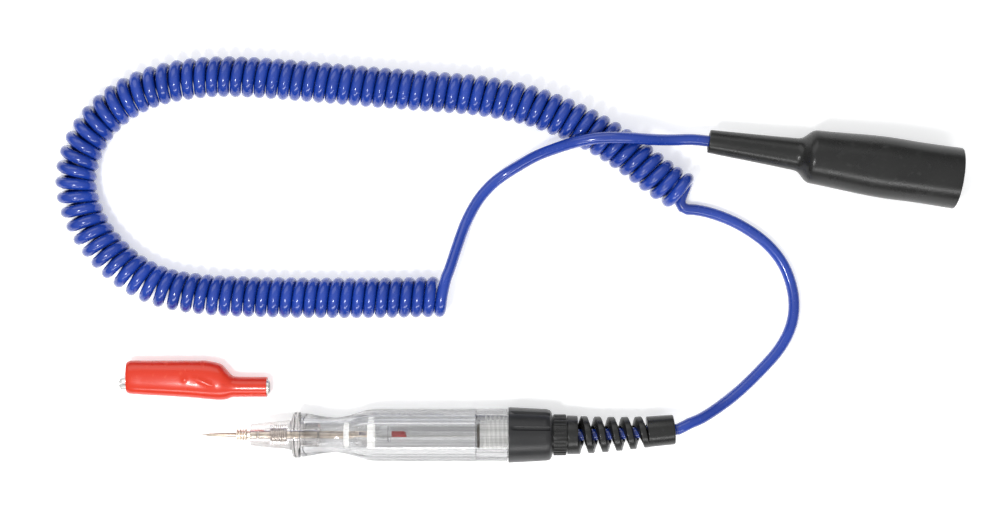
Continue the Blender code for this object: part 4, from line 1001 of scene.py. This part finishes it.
for here, following in zip(profile, profile[1:] + profile[:1]):
    pieces = max(1, round(math.dist(here, following) / RING_GAP))
    for k in range(pieces):
        t = k / pieces
        fine.append((here[0] + (following[0] - here[0]) * t,
                     here[1] + (following[1] - here[1]) * t))


SWELL_AT = 61.0 * MM
SWELL_REACH = 13.0 * MM
SWELL = 0.55 * MM
DIP = 0.06 * MM
TAIL_LIP_R = 4.4 * MM


def sagging(along, radius, angle):
    """A soft boot is never quite round: it swells sideways over the jaws and dips a little."""
    dip = DIP * math.sin(2 * angle + along * 60) * math.sin(along * 95)
    swell = SWELL * math.exp(-((along - SWELL_AT) / SWELL_REACH) ** 2) * math.sin(angle) ** 2
    return radius - abs(dip) + swell if radius > TAIL_LIP_R else radius


new_piece("ground_clip_boot", turned("ground_clip_boot", fine, boot_axle, 120, sagging), rubber,
          "ground_boot", ["clip_boot"])


# Ground clip. Two channel jaws of pressed and nickelled steel on a riveted pin, held shut by a
# torsion spring, with the cord's strands under a screw.
plated = Finish("nickel_plate", Metallic=1.0)
pits = plated.noise(900, 5)
wear = plated.spread(plated.noise(240, 4), 0.45, 0.75)
plated.set(Base_Color=plated.mixed(wear, (0.70, 0.69, 0.66), (0.50, 0.49, 0.46)),
           Roughness=0.20 + pits * 0.15 + wear * 0.12)
plated.bumped(pits, 0.02 * MM, 0.5)


def bevelled(node, name, width, finish):
    """A pressed part with its CAD shape, whose edges are rounded."""
    mesh = frame["nodes"][node].data.copy()
    mesh.name = name
    shape = bmesh.new()
    shape.from_mesh(mesh)
    bmesh.ops.remove_doubles(shape, verts=shape.verts, dist=1e-6)
    bmesh.ops.dissolve_limit(shape, angle_limit=math.radians(1), verts=shape.verts,
                             edges=shape.edges)
    shape.to_mesh(mesh)
    shape.free()
    piece = new_piece(name, mesh, finish, frame["nodes"][node]["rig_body"], [node])
    bevel = piece.modifiers.new("edges", "BEVEL")
    bevel.width, bevel.segments, bevel.limit_method = width, 2, "ANGLE"
    bevel.angle_limit = math.radians(30)
    bevel.harden_normals = False
    mesh.shade_smooth()
    return piece


ground_parts = [
    bevelled("clip_fixed_jaw", "ground_jaw_fixed", 0.12 * MM, plated),
    bevelled("clip_moving_jaw", "ground_jaw_moving", 0.12 * MM, plated),
    bevelled("clip_pin", "ground_jaw_pin", 0.10 * MM, plated),
    bevelled("clip_screw", "ground_clip_screw", 0.12 * MM, plated),
    bevelled("clip_conductor", "ground_clip_strands", 0.10 * MM, brass),
]
spring_node = frame["nodes"]["clip_spring"]
spring_node.data.materials.clear()
spring_node.data.materials.append(tinned.material)


# Loose clip. A small clip in a glossy red dipped vinyl boot. Its steel socket slips over the
# probe's collar, and the tips of its jaws stand out of the boot's mouth.
BOOT_RINGS = 170
BOOT_SIDES = 112
vinyl = Finish("red_vinyl", Specular_IOR_Level=0.35, Coat_Roughness=0.10)
dip = vinyl.noise(70, 2, (0.4, 1, 1))
mark = vinyl.spread(vinyl.noise(600, 4), 0.62, 0.78)
red = vinyl.mixed(dip, (0.65, 0.030, 0.004), (0.56, 0.021, 0.004))
vinyl.set(Base_Color=vinyl.mixed(mark * 0.3, red, (0.78, 0.13, 0.06)),
          Roughness=0.22 + dip * 0.12 + mark * 0.12, Coat_Weight=0.35 - mark * 0.2)
vinyl.bumped(vinyl.noise(500, 3), 0.06 * MM, 0.35)

low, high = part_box("loose_clip_boot")
clip_start = high.x
clip_y = (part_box("slip_socket")[0].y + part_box("slip_socket")[1].y) / 2
clip_z = (low.z + high.z) / 2
boot_length = high.x - low.x
edge = high.y - clip_y
SECTIONS = [
    # along, middle, width, height, squareness, all but the last in millimetres
    (0.0, 0.1, 7.0, 7.0, 2.0), (0.5, 0.1, 7.3, 7.3, 2.0), (6.0, 0.1, 7.4, 7.4, 2.0),
    (12.0, 0.15, 7.6, 7.6, 2.0), (13.4, 0.25, 7.9, 7.8, 2.0), (15.9, 1.1, 11.2, 8.7, 2.1),
    (16.8, 1.55, 12.4, 9.1, 2.15), (19.9, 2.28, 13.8, 9.7, 2.3), (22.9, 2.63, 14.0, 9.85, 2.4),
    (26.5, 2.9, 13.8, 9.95, 2.5), (37.5, 3.28, 13.1, 9.8, 2.5), (46.0, 3.5, 12.6, 9.2, 2.5),
    (51.3, 3.68, 12.2, 8.7, 2.4), (52.3, 3.68, 11.4, 8.1, 2.4),
]
section_at = np.array([s[0] for s in SECTIONS]) * MM
section_values = np.array([s[1:] for s in SECTIONS]) * np.array((MM, MM, MM, 1))
section_slopes = np.gradient(section_values, section_at, axis=0)


def section_value(along, column):
    """A smooth curve through the sections' values, level at their highs and lows."""
    k = int(np.clip(np.searchsorted(section_at, along) - 1, 0, len(section_at) - 2))
    wide = section_at[k + 1] - section_at[k]
    t = min(1.0, max(0.0, (along - section_at[k]) / wide))
    a, b = section_values[k, column], section_values[k + 1, column]
    if a == b:
        return a
    m0, m1 = (float(np.clip(section_slopes[i, column] * wide / (b - a), 0, 3)) * (b - a)
              for i in (k, k + 1))
    return ((2 * t**3 - 3 * t**2 + 1) * a + (t**3 - 2 * t**2 + t) * m0
            + (-2 * t**3 + 3 * t**2) * b + (t**3 - t**2) * m1)


PIVOT = Vector((30.4, 3.2)) * MM
CREASE_FROM, CREASE_TO = Vector((26.9, 3.7)) * MM, Vector((20.6, 0.8)) * MM
PIVOT_RISE, PIVOT_REACH = 0.40 * MM, 1.0 * MM
CREASE_RISE, CREASE_REACH = 0.42 * MM, 0.80 * MM
SPRING_END_AT = 24.3 * MM
SPRING_END_RISE, SPRING_END_REACH = 0.18 * MM, 1.6 * MM


def raised(along, y):
    """How far the pivot's head and the bent edge of the jaw inside push the skin up."""
    here = Vector((along, y))
    crease = CREASE_TO - CREASE_FROM
    t = min(1.0, max(0.0, (here - CREASE_FROM).dot(crease) / crease.length_squared))
    off = (here - CREASE_FROM - crease * t).length
    fullness = math.sin(math.pi * (0.15 + 0.7 * t))
    return (PIVOT_RISE * math.exp(-((here - PIVOT).length / PIVOT_REACH) ** 2)
            + CREASE_RISE * math.exp(-(off / CREASE_REACH) ** 2) * fullness)


def boot_ring(along, inset):
    """A ring of the boot's skin, inset from its outside."""
    spring_end = SPRING_END_RISE * math.exp(-((along - SPRING_END_AT) / SPRING_END_REACH) ** 2)
    middle, width, height, square = (section_value(along, column) for column in range(4))
    ring = []
    for k in range(BOOT_SIDES):
        a = 2 * math.pi * k / BOOT_SIDES
        c, s = math.cos(a), math.sin(a)
        across = math.copysign(abs(c) ** (2 / square), c) * (width / 2 - inset)
        tall = math.copysign(abs(s) ** (2 / square), s) * (height / 2 - inset)
        y = middle + across
        if inset == 0:
            tall += s * raised(along, y)
            y += spring_end * max(0.0, c) ** 8
        ring.append((clip_start - along, clip_y + min(y, edge), clip_z + max(-clip_z, tall)))
    return ring


TUBE_SHOWN = 0.8 * MM
outside = [eased(TUBE_SHOWN, boot_length, i / BOOT_RINGS) for i in range(BOOT_RINGS + 1)]
shell_rings = [boot_ring(along, 0) for along in outside]
VINYL_WALL = 1.0 * MM
tube_r = 2.95 * MM
tube_end = 14.5 * MM
for along in reversed([a for a in outside[::3] if a > tube_end + 3.5 * MM]):
    shell_rings.append(boot_ring(along, VINYL_WALL))
for along, grow in ((tube_end, 0), (TUBE_SHOWN + 0.2 * MM, 0), (TUBE_SHOWN, 0.15 * MM)):
    r = tube_r + grow
    shell_rings.append([(clip_start - along, clip_y + r * math.cos(a), clip_z + r * math.sin(a))
                        for a in (2 * math.pi * k / BOOT_SIDES for k in range(BOOT_SIDES))])
points = [p for ring in shell_rings for p in ring]
faces = []
for i in range(len(shell_rings)):
    row, following = i * BOOT_SIDES, (i + 1) % len(shell_rings) * BOOT_SIDES
    for k in range(BOOT_SIDES):
        n = (k + 1) % BOOT_SIDES
        faces.append((row + k, row + n, following + n, following + k))
boot_mesh = bpy.data.meshes.new("loose_boot")
boot_mesh.from_pydata(points, [], faces)
faced_outward(boot_mesh, 50)
new_piece("loose_boot", boot_mesh, vinyl, "loose_clip", ["loose_clip_boot"])

low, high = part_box("slip_socket")
socket_axle = Axle((high.x, clip_y, clip_z), (-1, 0, 0))
socket_length = high.x - low.x
socket_r = (high.z - low.z) / 2
socket_bore = socket_r - 0.55 * MM
new_piece("slip_socket_tube", turned("slip_socket_tube", rounded([
    (0, socket_bore, 0.15 * MM), (0, socket_r, 0.2 * MM), (socket_length, socket_r, 0.1 * MM),
    (socket_length, socket_bore)]), socket_axle, 72), plated, "loose_clip",
    ["slip_socket"])
bevelled("loose_clip_fixed_jaw", "loose_jaw_fixed", 0.09 * MM, plated)
bevelled("loose_clip_moving_jaw", "loose_jaw_moving", 0.09 * MM, plated)
bevelled("loose_clip_pin", "loose_jaw_pin", 0.08 * MM, plated)
loose_spring = frame["nodes"]["loose_clip_spring"]
loose_spring.data.materials.clear()
loose_spring.data.materials.append(tinned.material)

bpy.context.view_layer.update()
